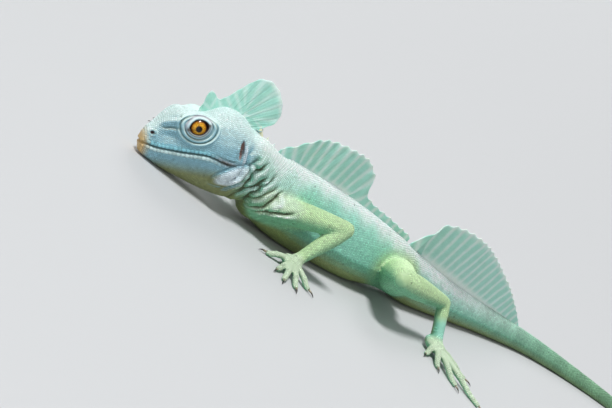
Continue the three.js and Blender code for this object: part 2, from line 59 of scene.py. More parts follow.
# The head's own frame: X from snout to nape, Y to the animal's right, Z to the crown
HEAD_BASE = Vector((-121.0, 15.0, 1.5)) * MM
HEAD_TURN = (
    Matrix.Rotation(math.radians(-15.0), 4, "Z")
    @ Matrix.Rotation(math.radians(-28.0), 4, "Y")
    @ Matrix.Rotation(math.radians(-8.0), 4, "X")
)
HEAD_FRAME = Matrix.Translation(HEAD_BASE) @ HEAD_TURN
HEAD_LENGTH = 56.0
HEAD_REACH = 61.0
HEAD_HALF_WIDTH = 26.0
EYE_PLACE = (25.9, 7.0, 16.2)
EYE_RADIUS = 5.4
NOSTRIL = (4.8, 9.8)
EAR = (49.0, 8.0)


class Side(Enum):
    """A side of the animal, with the sign of its Y direction."""

    LEFT = -1
    RIGHT = 1

    @property
    def word(self) -> str:
        """The side's name as the model's nodes write it."""
        return self.name.lower()


def head_point(along: float, across: float, up: float) -> Vector:
    """Place of a point of the head.

    Args:
        along: Distance behind the snout, in millimetres.
        across: Distance to the animal's right, in millimetres.
        up: Height over the jaw line, in millimetres.

    Returns:
        The point in the model's frame, in metres.
    """
    return HEAD_FRAME @ Vector((along * MM, across * MM, up * MM))


def head_places(points: np.ndarray) -> np.ndarray:
    """Points of the model in the head's own frame.

    Args:
        points: Rows of x, y, z in metres.

    Returns:
        Rows of along, across and up, in millimetres.
    """
    inverse = np.array(HEAD_FRAME.inverted())
    return (points @ inverse[:3, :3].T + inverse[:3, 3]) / MM


def smooth_between(low: float, high: float, value: np.ndarray) -> np.ndarray:
    """Smooth step from 0 at low to 1 at high.

    Args:
        low: Where the step starts.
        high: Where the step ends.
        value: The values to map.

    Returns:
        Shares from 0 to 1.
    """
    share = np.clip((value - low) / (high - low), 0.0, 1.0)
    return share * share * (3.0 - 2.0 * share)


def bump(distance: np.ndarray, reach: float) -> np.ndarray:
    """Bell curve of a distance.

    Args:
        distance: Distance from the middle.
        reach: Distance at which the curve has fallen to 0.37.

    Returns:
        Values from 0 to 1.
    """
    return np.exp(-((distance / reach) ** 2))


def deselect_all() -> None:
    """Leave object mode's selection empty."""
    if bpy.context.object and bpy.context.object.mode != "OBJECT":
        bpy.ops.object.mode_set(mode="OBJECT")
    bpy.ops.object.select_all(action="DESELECT")


def choose(piece: bpy.types.Object) -> None:
    """Select one object alone and make it active.

    Args:
        piece: The object.
    """
    deselect_all()
    piece.select_set(True)
    bpy.context.view_layer.objects.active = piece


def vertex_places(mesh: bpy.types.Mesh) -> np.ndarray:
    """Vertex positions of a mesh as an array of rows.

    Args:
        mesh: The mesh.

    Returns:
        Rows of x, y, z.
    """
    flat = np.empty(len(mesh.vertices) * 3, np.float32)
    mesh.vertices.foreach_get("co", flat)
    return flat.reshape(-1, 3).astype(float)


def vertex_normals(mesh: bpy.types.Mesh) -> np.ndarray:
    """Vertex normals of a mesh as an array of rows.

    Args:
        mesh: The mesh.

    Returns:
        Rows of x, y, z.
    """
    flat = np.empty(len(mesh.vertices) * 3, np.float32)
    mesh.vertex_normals.foreach_get("vector", flat)
    return flat.reshape(-1, 3).astype(float)


def set_places(mesh: bpy.types.Mesh, places: np.ndarray) -> None:
    """Move a mesh's vertices.

    Args:
        mesh: The mesh.
        places: Rows of x, y, z, one for each vertex.
    """
    mesh.vertices.foreach_set("co", places.astype(np.float32).ravel())
    mesh.update()


def apply_modifier(piece: bpy.types.Object, kind: str, **settings: object) -> None:
    """Add a modifier with its settings and apply it at once.

    Args:
        piece: The object.
        kind: The modifier's type.
        **settings: Values for the modifier's properties.
    """
    choose(piece)
    modifier = piece.modifiers.new(kind.lower(), kind)
    for name, value in settings.items():
        setattr(modifier, name, value)
    bpy.ops.object.modifier_apply(modifier=modifier.name)


def join_pieces(pieces: Sequence[bpy.types.Object], name: str) -> bpy.types.Object:
    """Join objects into one.

    Args:
        pieces: The objects.
        name: The joined object's name.

    Returns:
        The joined object.
    """
    deselect_all()
    for piece in pieces:
        piece.select_set(True)
    bpy.context.view_layer.objects.active = pieces[0]
    bpy.ops.object.join()
    joined = bpy.context.object
    joined.name = name
    return joined


def merged_copy(node: str) -> bpy.types.Object:
    """Copy one of the model's nodes and merge its loose triangles.

    Args:
        node: The node's name.

    Returns:
        The copy, with a mesh of its own.
    """
    copy = bpy.data.objects.new(f"{node}_copy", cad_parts[node].data.copy())
    bpy.context.scene.collection.objects.link(copy)
    apply_modifier(copy, "WELD", merge_threshold=NODE_WELD)
    return copy


def grid_piece(name: str, columns: int, rows: int) -> tuple:
    """Add a flat grid, to be shaped into a sheet.

    Args:
        name: The object's name.
        columns: How many cells it has across.
        rows: How many cells it has up.

    Returns:
        The object, and each vertex's shares across and up, from 0 to 1.
    """
    deselect_all()
    bpy.ops.mesh.primitive_grid_add(x_subdivisions=columns, y_subdivisions=rows, size=1.0)
    piece = bpy.context.object
    piece.name = name
    flat = vertex_places(piece.data)
    return piece, flat[:, 0] + 0.5, flat[:, 1] + 0.5


def give_finish(piece: bpy.types.Object, material: bpy.types.Material) -> None:
    """Give a piece one material alone, and smooth shading.

    Args:
        piece: The object.
        material: Its material.
    """
    mesh = piece.data
    mesh.materials.clear()
    mesh.materials.append(material)
    mesh.polygons.foreach_set("material_index", np.zeros(len(mesh.polygons), np.int32))
    choose(piece)
    bpy.ops.object.shade_smooth()


def report(piece: bpy.types.Object) -> None:
    """Log a piece's name and its number of faces."""
    LOG.info("%s: %d faces", piece.name, len(piece.data.polygons))


def paint(piece: bpy.types.Object, colours: np.ndarray) -> None:
    """Store a colour for each vertex.

    Args:
        piece: The object.
        colours: Rows of red, green and blue, one for each vertex.
    """
    layer = piece.data.color_attributes.new(COLOUR_NAME, "FLOAT_COLOR", "POINT")
    full = np.ones((len(colours), 4), np.float32)
    full[:, :3] = np.clip(colours, 0.0, 1.0)
    layer.data.foreach_set("color", full.ravel())


def unit(rows: np.ndarray) -> np.ndarray:
    """Directions of unit length.

    Args:
        rows: Rows of x, y, z.

    Returns:
        The same rows, each of length 1.
    """
    return rows / (np.linalg.norm(rows, axis=-1, keepdims=True) + 1e-12)


def node_places(name: str) -> np.ndarray:
    """Vertex positions of one of the model's nodes."""
    return vertex_places(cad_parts[name].data)


def long_axis(name: str, near: np.ndarray) -> np.ndarray:
    """The two ends of a node's long axis.

    Args:
        name: The node.
        near: The place that the first end is nearer to.

    Returns:
        Two rows of x, y, z.
    """
    places = node_places(name)
    middle = (places.min(axis=0) + places.max(axis=0)) / 2
    direction = np.linalg.svd(places - places.mean(axis=0), full_matrices=False)[2][0]
    reach = (places - middle) @ direction
    ends = middle + np.outer([reach.min(), reach.max()], direction)
    if np.linalg.norm(ends[1] - near) < np.linalg.norm(ends[0] - near):
        ends = ends[::-1]
    return ends


class Surface:
    """A mesh that places are cast onto, with its smooth normals."""

    def __init__(self, piece: bpy.types.Object) -> None:
        """Read the mesh.

        Args:
            piece: The object whose mesh it is.
        """
        mesh = piece.data
        mesh.calc_loop_triangles()
        corners = np.empty(len(mesh.loop_triangles) * 3, np.int32)
        mesh.loop_triangles.foreach_get("vertices", corners)
        self.triangles = corners.reshape(-1, 3)
        self.normals = vertex_normals(mesh)
        self.tree = BVHTree.FromPolygons(vertex_places(mesh).tolist(), self.triangles.tolist())

    def reach(self, start: np.ndarray, direction: np.ndarray, limit: float) -> float:
        """How far a straight line runs before it meets the surface.

        Args:
            start: Where it starts.
            direction: Its direction, of unit length.
            limit: How far it is followed.

        Returns:
            The distance, or nan where it meets nothing.
        """
        distance = self.tree.ray_cast(Vector(start), Vector(direction), limit)[3]
        return math.nan if distance is None else distance

    def nearest(self, points: np.ndarray) -> tuple:
        """The nearest places of the surface.

        Args:
            points: Rows of x, y, z.

        Returns:
            Rows of places and rows of smooth normals.
        """
        places = np.empty((len(points), 3))
        faces = np.empty(len(points), int)
        for index, point in enumerate(points):
            hit = self.tree.find_nearest(Vector(point))
            places[index] = hit[0]
            faces[index] = hit[2]
        return places, unit(self.normals[self.triangles[faces]].mean(axis=1))


class Graph:
    """A material's node tree, with short ways to add and link nodes."""

    def __init__(self, name: str) -> None:
        """Start a material with an empty shader.

        Args:
            name: The material's name.
        """
        self.material = bpy.data.materials.new(name)
        self.material.use_nodes = True
        self.tree = self.material.node_tree
        self.shader = self.tree.nodes["Principled BSDF"]

    def add(self, kind: str, **values: object) -> bpy.types.Node:
        """Add a node and set its inputs and properties.

        Args:
            kind: The node's type, without the ShaderNode prefix.
            **values: Inputs by their names with _ for a space, or properties.

        Returns:
            The node.
        """
        node = self.tree.nodes.new("ShaderNode" + kind)
        for name, value in values.items():
            socket = node.inputs.get(name.replace("_", " "))
            if socket is None:
                setattr(node, name, value)
            else:
                socket.default_value = value
        return node

    def link(self, start: bpy.types.NodeSocket, end: bpy.types.NodeSocket) -> None:
        """Link two sockets.

        Args:
            start: The output.
            end: The input.
        """
        self.tree.links.new(start, end)

    def set(self, **values: object) -> None:
        """Set constant numbers on the shader's own sockets.

        Args:
            **values: Inputs by their names with _ for a space.
        """
        for name, value in values.items():
            self.shader.inputs[name.replace("_", " ")].default_value = value

    def place(self) -> bpy.types.NodeSocket:
        """The piece's object coordinates."""
        return self.add("TexCoord").outputs["Object"]

    def noise(self, scale: float, detail: float = 3.0) -> bpy.types.NodeSocket:
        """A noise value over the piece.

        Args:
            scale: Waves in a metre.
            detail: How many finer layers it has.

        Returns:
            The noise's value output.
        """
        node = self.add("TexNoise", Scale=scale, Detail=detail)
        self.link(self.place(), node.inputs["Vector"])
        return node.outputs["Fac"]

    def cells(self, scale: float) -> bpy.types.NodeSocket:
        """Distance to the nearest cell centre over the piece.

        Args:
            scale: Cells in a metre.

        Returns:
            The distance output.
        """
        node = self.add("TexVoronoi", Scale=scale)
        self.link(self.place(), node.inputs["Vector"])
        return node.outputs["Distance"]

    def ramp(self, value: bpy.types.NodeSocket, stops: Sequence[tuple]) -> bpy.types.NodeSocket:
        """Map a value through colour stops.

        Args:
            value: The value output.
            stops: Pairs of a place and a colour of four numbers.

        Returns:
            The ramp's colour output.
        """
        node = self.add("ValToRGB")
        elements = node.color_ramp.elements
        while len(elements) < len(stops):
            elements.new(0.5)
        for element, (place, colour) in zip(elements, stops):
            element.position = place
            element.color = colour
        self.link(value, node.inputs["Fac"])
        return node.outputs["Color"]

    def multiply(
        self, first: bpy.types.NodeSocket, second: bpy.types.NodeSocket, share: float
    ) -> bpy.types.NodeSocket:
        """Multiply two colours.

        Args:
            first: The first colour output.
            second: The second colour output.
            share: How much of the product shows.

        Returns:
            The mixed colour output.
        """
        node = self.add("MixRGB", blend_type="MULTIPLY")
        node.inputs["Fac"].default_value = share
        self.link(first, node.inputs["Color1"])
        self.link(second, node.inputs["Color2"])
        return node.outputs["Color"]

    def relief(self, height: bpy.types.NodeSocket, strength: float, depth: float) -> None:
        """Use a height as the shader's bump.

        Args:
            height: The height output.
            strength: The bump's strength.
            depth: The height's full depth in metres.
        """
        node = self.add("Bump", Strength=strength, Distance=depth)
        self.link(height, node.inputs["Height"])
        self.link(node.outputs["Normal"], self.shader.inputs["Normal"])


@dataclass(frozen=True)
class HideFinish:
    """Satin reptile hide whose colour is stored on the mesh."""

    name: str
    roughness: float
    bump_depth: float
    cell_scale: float
    glow: float = 0.12

    def material(self) -> bpy.types.Material:
        """Build the material, or give the one already built.

        Returns:
            The material.
        """
        if self.name in bpy.data.materials:
            return bpy.data.materials[self.name]
        graph = Graph(self.name)
        colour = graph.add("Attribute", attribute_name=COLOUR_NAME)
        blotch = graph.ramp(
            graph.noise(260.0, 4.0), [(0.3, (0.82, 0.86, 0.84, 1.0)), (0.7, (1.0, 1.0, 1.0, 1.0))]
        )
        grain = graph.ramp(
            graph.noise(1500.0, 2.0), [(0.35, (0.86, 0.9, 0.88, 1.0)), (0.6, (1.0, 1.0, 1.0, 1.0))]
        )
        tint = graph.multiply(colour.outputs["Color"], blotch, 0.6)
        tint = graph.multiply(tint, grain, 0.5)
        graph.link(tint, graph.shader.inputs["Base Color"])
        graph.set(
            Roughness=self.roughness,
            Subsurface_Weight=self.glow,
            Subsurface_Scale=0.0012,
            Specular_IOR_Level=0.45,
        )
        graph.shader.inputs["Subsurface Radius"].default_value = (1.0, 0.9, 0.7)
        graph.relief(graph.cells(self.cell_scale), 0.35, self.bump_depth)
        return graph.material


@dataclass(frozen=True)
class EyeFinish:
    """Wet eye: black pupil, amber iris with radial fibres and a dark rim."""

    name: str

    def material(self) -> bpy.types.Material:
        """Build the material, or give the one already built.

        Returns:
            The material.
        """
        if self.name in bpy.data.materials:
            return bpy.data.materials[self.name]
        graph = Graph(self.name)
        gaze = graph.add("Attribute", attribute_name="gaze")
        fibre = graph.add("Attribute", attribute_name="fibre")
        iris = graph.ramp(
            gaze.outputs["Fac"],
            [
                (0.0, (0.001, 0.001, 0.001, 1.0)),
                (0.262, (0.001, 0.001, 0.001, 1.0)),
                (0.29, (0.5, 0.22, 0.012, 1.0)),
                (0.39, (0.84, 0.46, 0.03, 1.0)),
                (0.62, (0.66, 0.28, 0.015, 1.0)),
                (0.73, (0.24, 0.08, 0.008, 1.0)),
                (0.79, (0.02, 0.01, 0.006, 1.0)),
                (0.9, (0.03, 0.018, 0.014, 1.0)),
            ],
        )
        streaks = graph.ramp(
            fibre.outputs["Fac"], [(0.25, (0.45, 0.4, 0.35, 1.0)), (0.7, (1.0, 1.0, 1.0, 1.0))]
        )
        graph.link(graph.multiply(iris, streaks, 0.8), graph.shader.inputs["Base Color"])
        graph.set(
            Roughness=0.35, Specular_IOR_Level=0.15,
            Coat_Weight=1.0, Coat_Roughness=0.02, Coat_IOR=1.34,
        )
        return graph.material


@dataclass(frozen=True)
class HornFinish:
    """Dark, glossy claw horn, paler at the root."""

    name: str

    def material(self) -> bpy.types.Material:
        """Build the material, or give the one already built.

        Returns:
            The material.
        """
        if self.name in bpy.data.materials:
            return bpy.data.materials[self.name]
        graph = Graph(self.name)
        colour = graph.add("Attribute", attribute_name=COLOUR_NAME)
        streak = graph.ramp(
            graph.noise(900.0, 2.0), [(0.3, (0.7, 0.7, 0.7, 1.0)), (0.65, (1.0, 1.0, 1.0, 1.0))]
        )
        graph.link(
            graph.multiply(colour.outputs["Color"], streak, 0.7), graph.shader.inputs["Base Color"]
        )
        graph.set(Roughness=0.28, Coat_Weight=0.3, Coat_Roughness=0.12)
        return graph.material


@dataclass(frozen=True)
class Palette:
    """The animal's colours, as linear red, green and blue; some stand for painted highlights and shade."""

    # mint: painted highlight colour, laid on hide that faces up
    mint: tuple = (0.42, 0.85, 0.69)
    sea_green: tuple = (0.19, 0.56, 0.4)
    # back_band: pale colour, used as painted highlight on the back and neck, and as plain pale on the crest
    # edges and the spines' roots
    back_band: tuple = (0.86, 0.98, 0.93)
    belly: tuple = (0.24, 0.29, 0.09)
    # lit_limb_top and limb_under: the limbs' own yellow-green and green, made lighter on top and darker
    # below by painted light
    lit_limb_top: tuple = (0.58, 0.8, 0.44)
    limb_under: tuple = (0.2, 0.52, 0.3)
    paw: tuple = (0.66, 0.8, 0.58)
    head_teal: tuple = (0.3, 0.56, 0.66)
    # crown: painted highlight colour of the head's top
    crown: tuple = (0.74, 0.93, 0.9)
    snout: tuple = (0.74, 0.46, 0.15)
    lip: tuple = (0.26, 0.62, 0.72)
    jowl: tuple = (0.74, 0.86, 0.93)
    throat: tuple = (0.27, 0.3, 0.13)
    # fold: dark colour, used as painted shade in the mouth's crease and between the lids' folds, and for the
    # tail's dark rings, the head's dark spots and the streak before the eye
    fold: tuple = (0.035, 0.08, 0.055)
    flesh: tuple = (0.3, 0.12, 0.08)
    # nostril: painted shade in the nostril's pit
    nostril: tuple = (0.06, 0.012, 0.016)
    tail_dull: tuple = (0.22, 0.4, 0.2)
    lid_pink: tuple = (0.42, 0.3, 0.38)
    # lid_shade: painted shade on the lower lid and in the eye's corners
    lid_shade: tuple = (0.1, 0.07, 0.06)
    lid_edge: tuple = (0.03, 0.016, 0.018)
    # crease_shade: painted shade in the neck's crease valleys
    crease_shade: tuple = (0.06, 0.075, 0.025)
    spine: tuple = (0.9, 0.88, 0.62)
    crest_web: tuple = (0.42, 0.78, 0.68)
    crest_ray: tuple = (0.82, 0.97, 0.93)

    def over(self, base: np.ndarray, colour: tuple, share: np.ndarray) -> np.ndarray:
        """Lay a colour over others.

        Args:
            base: Rows of colours.
            colour: The colour laid over them.
            share: How much of it shows, for each row.

        Returns:
            Rows of colours.
        """
        return base + (np.array(colour) - base) * np.clip(share, 0.0, 1.0)[:, None]

    def at(self, points: np.ndarray, normals: np.ndarray, body: "Build") -> np.ndarray:
        """Colours of the hide at places of the body, with painted highlights and painted shade.

        Args:
            points: Rows of x, y, z in metres.
            normals: Rows of outward directions.
            body: Where the limbs and the back lie.

        Returns:
            Rows of colours.
        """
        x, z = points[:, 0] / MM, points[:, 2] / MM
        facing = normals[:, 2]
        aside = np.abs(points[:, 1] - body.middle_at(points[:, 0])) / MM
        base = np.tile(np.array(self.sea_green), (len(points), 1))
        # Painted highlight: the hide turns a lighter mint where it faces up
        base = self.over(base, self.mint, smooth_between(-0.1, 0.7, facing))
        # A pale band along the back's middle, brightened where the hide faces up: partly its own pale
        # colour, partly painted highlight
        band = smooth_between(11.0, 4.0, aside + 0.8 * np.sin(x * 0.35)) * smooth_between(0.1, 0.6, facing)
        base = self.over(base, self.back_band, band * smooth_between(300.0, 120.0, x))
        low = smooth_between(0.15, -0.6, facing) * smooth_between(24.0, 9.0, z)
        base = self.over(base, self.belly, 0.95 * low)
        base = self.over(base, self.tail_dull, 0.8 * smooth_between(130.0, 360.0, x))
        rings = 0.5 + 0.5 * np.cos(2 * np.pi * x / 27.0)
        base = self.over(base, self.fold, 0.2 * rings * smooth_between(120.0, 260.0, x))
        limb, paw = body.limb_shares(points)
        # Limbs: partly their own yellow-green, partly painted light, lighter where they face up and darker
        # and greener underneath
        leg = np.tile(np.array(self.limb_under), (len(points), 1))
        leg = self.over(leg, self.lit_limb_top, smooth_between(-0.45, 0.5, facing))
        base += (leg - base) * limb[:, None]
        base = self.over(base, self.paw, paw * smooth_between(-0.6, 0.1, facing))
        fold, shade = Folds().neck(points)
        # Painted highlight: the creased neck skin paler where it faces up
        base = self.over(base, self.back_band, 0.35 * shade * smooth_between(-0.5, 0.6, facing))
        # Painted highlight on the crease ridges that face up, and painted shade in the crease valleys
        crest = np.clip(fold / 0.5, 0.0, 1.0) * smooth_between(-0.6, 0.3, facing)
        base = self.over(base, self.back_band, 0.7 * crest)
        base = self.over(base, self.crease_shade, 0.92 * np.clip(-fold / 0.7, 0.0, 1.0))
        return self.over_head(base, points, normals)

    def over_head(self, base: np.ndarray, points: np.ndarray, normals: np.ndarray) -> np.ndarray:
        """Lay the head's colours over the body's, with a painted highlight on the crown and painted shade in
        the mouth's crease and the nostrils.

        Args:
            base: Rows of colours.
            points: Rows of x, y, z in metres.
            normals: Rows of outward directions.

        Returns:
            Rows of colours.
        """
        along, across, up = head_places(points).T
        lateral = smooth_between(3.0, 6.0, np.abs(across))
        edge = along - 0.35 * np.clip(up - 4.0, -20.0, 20.0)
        head = smooth_between(HEAD_REACH, 52.0, edge) * (np.abs(across) < HEAD_HALF_WIDTH) * (up < 60)
        crown_up = np.array(HEAD_TURN.to_3x3() @ Vector((0.0, 0.0, 1.0)))
        facing = normals @ crown_up
        face = np.tile(np.array(self.head_teal), (len(points), 1))
        # Painted highlight: the crown paler where it faces up
        face = self.over(face, self.crown, smooth_between(-0.05, 0.65, facing) * (up > 6))
        below = smooth_between(-1.0, -9.0, up) * smooth_between(0.8, -0.4, facing)
        face = self.over(face, self.throat, below)
        jowl = smooth_between(1.15, 0.8, Folds.jowl_apart(along, up))
        face = self.over(face, self.jowl, 0.9 * jowl * lateral)
        mouth = up - Folds.mouth_height(along)
        lip = bump(mouth - 1.4, 1.3) * smooth_between(42.0, 30.0, along)
        face = self.over(face, self.lip, 0.85 * lip)
        # A pale band just under the mouth line, in the crown highlight's colour
        face = self.over(face, self.crown, 0.75 * bump(mouth + 1.3, 0.9) * smooth_between(42.0, 32.0, along))
        corner = bump(along - 42.0, 5.5) * bump(mouth - 0.3, 1.2)
        face = self.over(face, self.flesh, 0.8 * corner * lateral)
        # Painted shade along the mouth's crease, and a second, fainter dark line above its rear part
        second = 0.6 * bump(mouth - 2.2, 0.4) * smooth_between(34.0, 39.0, along)
        crease = np.maximum(bump(mouth, 0.42), second)
        face = self.over(face, self.fold, 0.85 * crease * smooth_between(49.0, 46.0, along))
        tip = smooth_between(5.5, 0.5, along + 0.3 * np.clip(up - 5.0, 0.0, 20.0))
        face = self.over(face, self.snout, 0.9 * tip)
        # Painted shade: the nostril's pit nearly black
        pit = smooth_between(1.25, 0.8, Folds.nostril_apart(along, up)) * (np.abs(across) > 1.5)
        face = self.over(face, self.nostril, pit)
        slit = smooth_between(1.3, 0.7, Folds.ear_slit(along, up))
        face = self.over(face, self.flesh, 0.9 * slit * lateral)
        rim = smooth_between(1.3, 0.7, np.hypot(along - EAR[0] - 2.2, (up - EAR[1] + 2.4) / 5.4))
        face = self.over(face, self.jowl, 0.8 * rim * lateral * (1 - slit))
        for at, level, size in ((10.4, 21.4, 0.75), (16.2, 20.4, 0.5), (16.5, 18.9, 0.6)):
            spot = smooth_between(1.3, 0.7, np.hypot(along - at, 1.6 * (up - level)) / size)
            face = self.over(face, self.fold, 0.8 * spot * (np.abs(across) > 2.5))
        streak = bump(Folds.streak_apart(along, up), 0.8)
        streak *= smooth_between(8.0, 10.0, along) * smooth_between(19.0, 16.0, along)
        face = self.over(face, self.fold, 0.55 * streak * lateral)
        return base + (face - base) * head[:, None]


@dataclass(frozen=True)
class Digit:
    """One finger or toe, from the palm to the root of its claw."""

    root: np.ndarray
    tip: np.ndarray


@dataclass(frozen=True)
class Limb:
    """One limb's lengths and digits, measured off the model."""

    upper: np.ndarray
    lower: np.ndarray
    palm: np.ndarray
    digits: tuple
    names: tuple

    @property
    def hind(self) -> bool:
        """Whether it is a hind limb."""
        return self.names[0].startswith("thigh")

    @classmethod
    def measured(cls, side: Side, names: tuple) -> "Limb":
        """Measure one limb.

        Args:
            side: The limb's side.
            names: Names of its upper length, lower length, paw and digit.

        Returns:
            The limb.
        """
        *lengths, digit = names
        sided = tuple(f"{name}_{side.word}" for name in lengths)
        upper = long_axis(sided[0], node_places("torso").mean(axis=0))
        lower = long_axis(sided[1], upper[1])
        flat, sums, roots = np.zeros((2, 2)), np.zeros(2), []
        for index in range(1, 6):
            claw = f"{digit}_claw_{side.word}_{index}"
            ends = long_axis(claw, lower[1])
            roots.append(ends[0])
            aim = ends[1][:2] - ends[0][:2]
            aim /= np.linalg.norm(aim)
            across = np.eye(2) - np.outer(aim, aim)
            flat += across
            sums += across @ node_places(claw).mean(axis=0)[:2]
        spot = np.linalg.solve(flat, sums)
        palm = np.array([spot[0], spot[1], 3.4 * MM])
        return cls(upper, lower, palm, tuple(Digit(palm, root) for root in roots), sided)


class Build:
    """The animal's build: its middle line, its limbs and how near a place is to them."""

    def __init__(self) -> None:
        """Measure the model."""
        self.spine = Spine()
        fore = ("upper_arm", "forearm", "hand", "finger")
        hind = ("thigh", "shank", "foot", "toe")
        self.limbs = [Limb.measured(side, names) for names in (fore, hind) for side in Side]

    def middle_at(self, x: np.ndarray) -> np.ndarray:
        """Y of the body's middle line at places along X."""
        return np.interp(x, self.spine.xs, self.spine.middle)

    @staticmethod
    def apart(points: np.ndarray, ends: np.ndarray) -> np.ndarray:
        """Distances from a straight stretch.

        Args:
            points: Rows of x, y, z.
            ends: The stretch's two ends.

        Returns:
            One distance for each point.
        """
        line = ends[1] - ends[0]
        share = np.clip((points - ends[0]) @ line / (line @ line), 0.0, 1.0)
        return np.linalg.norm(points - ends[0] - share[:, None] * line, axis=1)

    def limb_shares(self, points: np.ndarray) -> tuple:
        """How far places belong to the limbs and to the hands and feet.

        Args:
            points: Rows of x, y, z.

        Returns:
            Shares of limb and of paw, for each point.
        """
        limb, paw = np.zeros(len(points)), np.zeros(len(points))
        for plan in self.limbs:
            girth = (13.5 if plan.hind else 9.0) * MM
            upper = smooth_between(1.55, 0.9, self.apart(points, plan.upper) / girth)
            lower = smooth_between(1.9, 1.2, self.apart(points, plan.lower) / (7.0 * MM))
            limb = np.maximum(limb, np.maximum(upper, lower))
            for digit in plan.digits:
                near = self.apart(points, np.array([digit.root, digit.tip]))
                paw = np.maximum(paw, smooth_between(7.5 * MM, 3.5 * MM, near))
        return np.maximum(limb, paw), paw


@dataclass
class Skin:
    """One skin grown from all the flesh of the model."""

    flesh: Sequence[str]
    body: Build
    swell: float = 0.24 * MM
    voxel: float = 0.7 * MM
    smoothing: int = 26
    smooth_shares: tuple = (0.6, -0.62)
    draw_in: float = 0.3
    paw_swell: float = 0.35
    head_care: float = 0.85
    triangle_limit: int = 196000
    piece: bpy.types.Object = field(init=False)

    def build(self) -> bpy.types.Object:
        """Grow, smooth and carve the skin.

        Returns:
            The skin's object.
        """
        self.piece = self.grown_copy()
        apply_modifier(self.piece, "REMESH", mode="VOXEL", voxel_size=self.voxel)
        self.even_out()
        self.refine_head()
        self.carve()
        self.thin_out()
        return self.piece

    def grown_copy(self) -> bpy.types.Object:
        """Copy the flesh, swollen so that the gaps between the copies close.

        Returns:
            The copies, joined.
        """
        copies = [merged_copy(name) for name in self.flesh]
        for copy in copies:
            apply_modifier(copy, "DISPLACE", strength=self.swell, mid_level=0.0)
        return join_pieces(copies, "skin")

    def even_out(self) -> None:
        """Smooth away facets and steps with passes that shrink and swell by turns."""
        mesh = self.piece.data
        ends = np.empty(len(mesh.edges) * 2, np.int32)
        mesh.edges.foreach_get("vertices", ends)
        first, second = ends.reshape(-1, 2).T
        places = vertex_places(mesh)
        count = np.bincount(ends, minlength=len(places)).astype(float)[:, None]
        for _ in range(self.smoothing):
            for share in self.smooth_shares:
                total = np.stack([
                    np.bincount(first, places[second, axis], len(places))
                    + np.bincount(second, places[first, axis], len(places))
                    for axis in range(3)
                ], axis=1)
                places += share * (total / count - places)
        set_places(mesh, places)

    def refine_head(self) -> None:
        """Divide the faces of the head once more, for its folds."""
        mesh = self.piece.data
        centres = np.empty(len(mesh.polygons) * 3, np.float32)
        mesh.polygons.foreach_get("center", centres)
        along, across, up = head_places(centres.reshape(-1, 3).astype(float)).T
        on_head = (along < HEAD_REACH) & (np.abs(across) < HEAD_HALF_WIDTH) & (up < 50)
        choose(self.piece)
        bpy.context.tool_settings.mesh_select_mode = (False, False, True)
        mesh.vertices.foreach_set("select", np.zeros(len(mesh.vertices), bool))
        mesh.edges.foreach_set("select", np.zeros(len(mesh.edges), bool))
        mesh.polygons.foreach_set("select", on_head)
        bpy.ops.object.mode_set(mode="EDIT")
        bpy.ops.mesh.subdivide(number_cuts=1, smoothness=0.0)
        bpy.ops.object.mode_set(mode="OBJECT")

    def carve(self) -> None:
        """Press the head's folds, the mouth and the neck's wrinkles into the skin."""
        mesh = self.piece.data
        places = vertex_places(mesh)
        normals = vertex_normals(mesh)
        depth = Folds().depth(places)
        paw = self.body.limb_shares(places)[1]
        places += normals * ((depth - self.draw_in + self.paw_swell * paw) * MM)[:, None]
        places = Orbit.cleared(places)
        places[:, 2] = np.maximum(places[:, 2], 0.0)
        set_places(mesh, places)

    def thin_out(self) -> None:
        """Thin the mesh, and keep it finer on the head."""
        mesh = self.piece.data
        mesh.calc_loop_triangles()
        triangles = len(mesh.loop_triangles)
        LOG.info("skin before thinning: %d triangles", triangles)
        if triangles <= self.triangle_limit:
            return
        places = vertex_places(mesh)
        along, across, up = head_places(places).T
        on_head = (along < HEAD_REACH) & (np.abs(across) < HEAD_HALF_WIDTH) & (up < 40)
        plain = 1.0 - self.head_care * on_head
        group = self.piece.vertex_groups.new(name="plain")
        for weight in np.unique(plain):
            chosen = np.nonzero(plain == weight)[0].tolist()
            group.add(chosen, float(weight), "REPLACE")
        apply_modifier(
            self.piece,
            "DECIMATE",
            ratio=self.triangle_limit / triangles,
            vertex_group="plain",
            vertex_group_factor=1.0,
        )
        self.piece.vertex_groups.clear()

    def dress(self, finish: HideFinish, palette: Palette) -> None:
        """Paint the skin and give it its finish.

        Args:
            finish: The hide's finish.
            palette: The animal's colours.
        """
        places = vertex_places(self.piece.data)
        along, across, up = head_places(places).T
        tone = 0.8 - 0.3 * smooth_between(1.1, 0.9, Folds.jowl_apart(along, up)) * (np.abs(across) > 6)
        colours = palette.at(places, vertex_normals(self.piece.data), self.body)
        paint(self.piece, tone[:, None] * colours)
        give_finish(self.piece, finish.material())
        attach(self.piece, "root")
        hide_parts(*self.flesh)


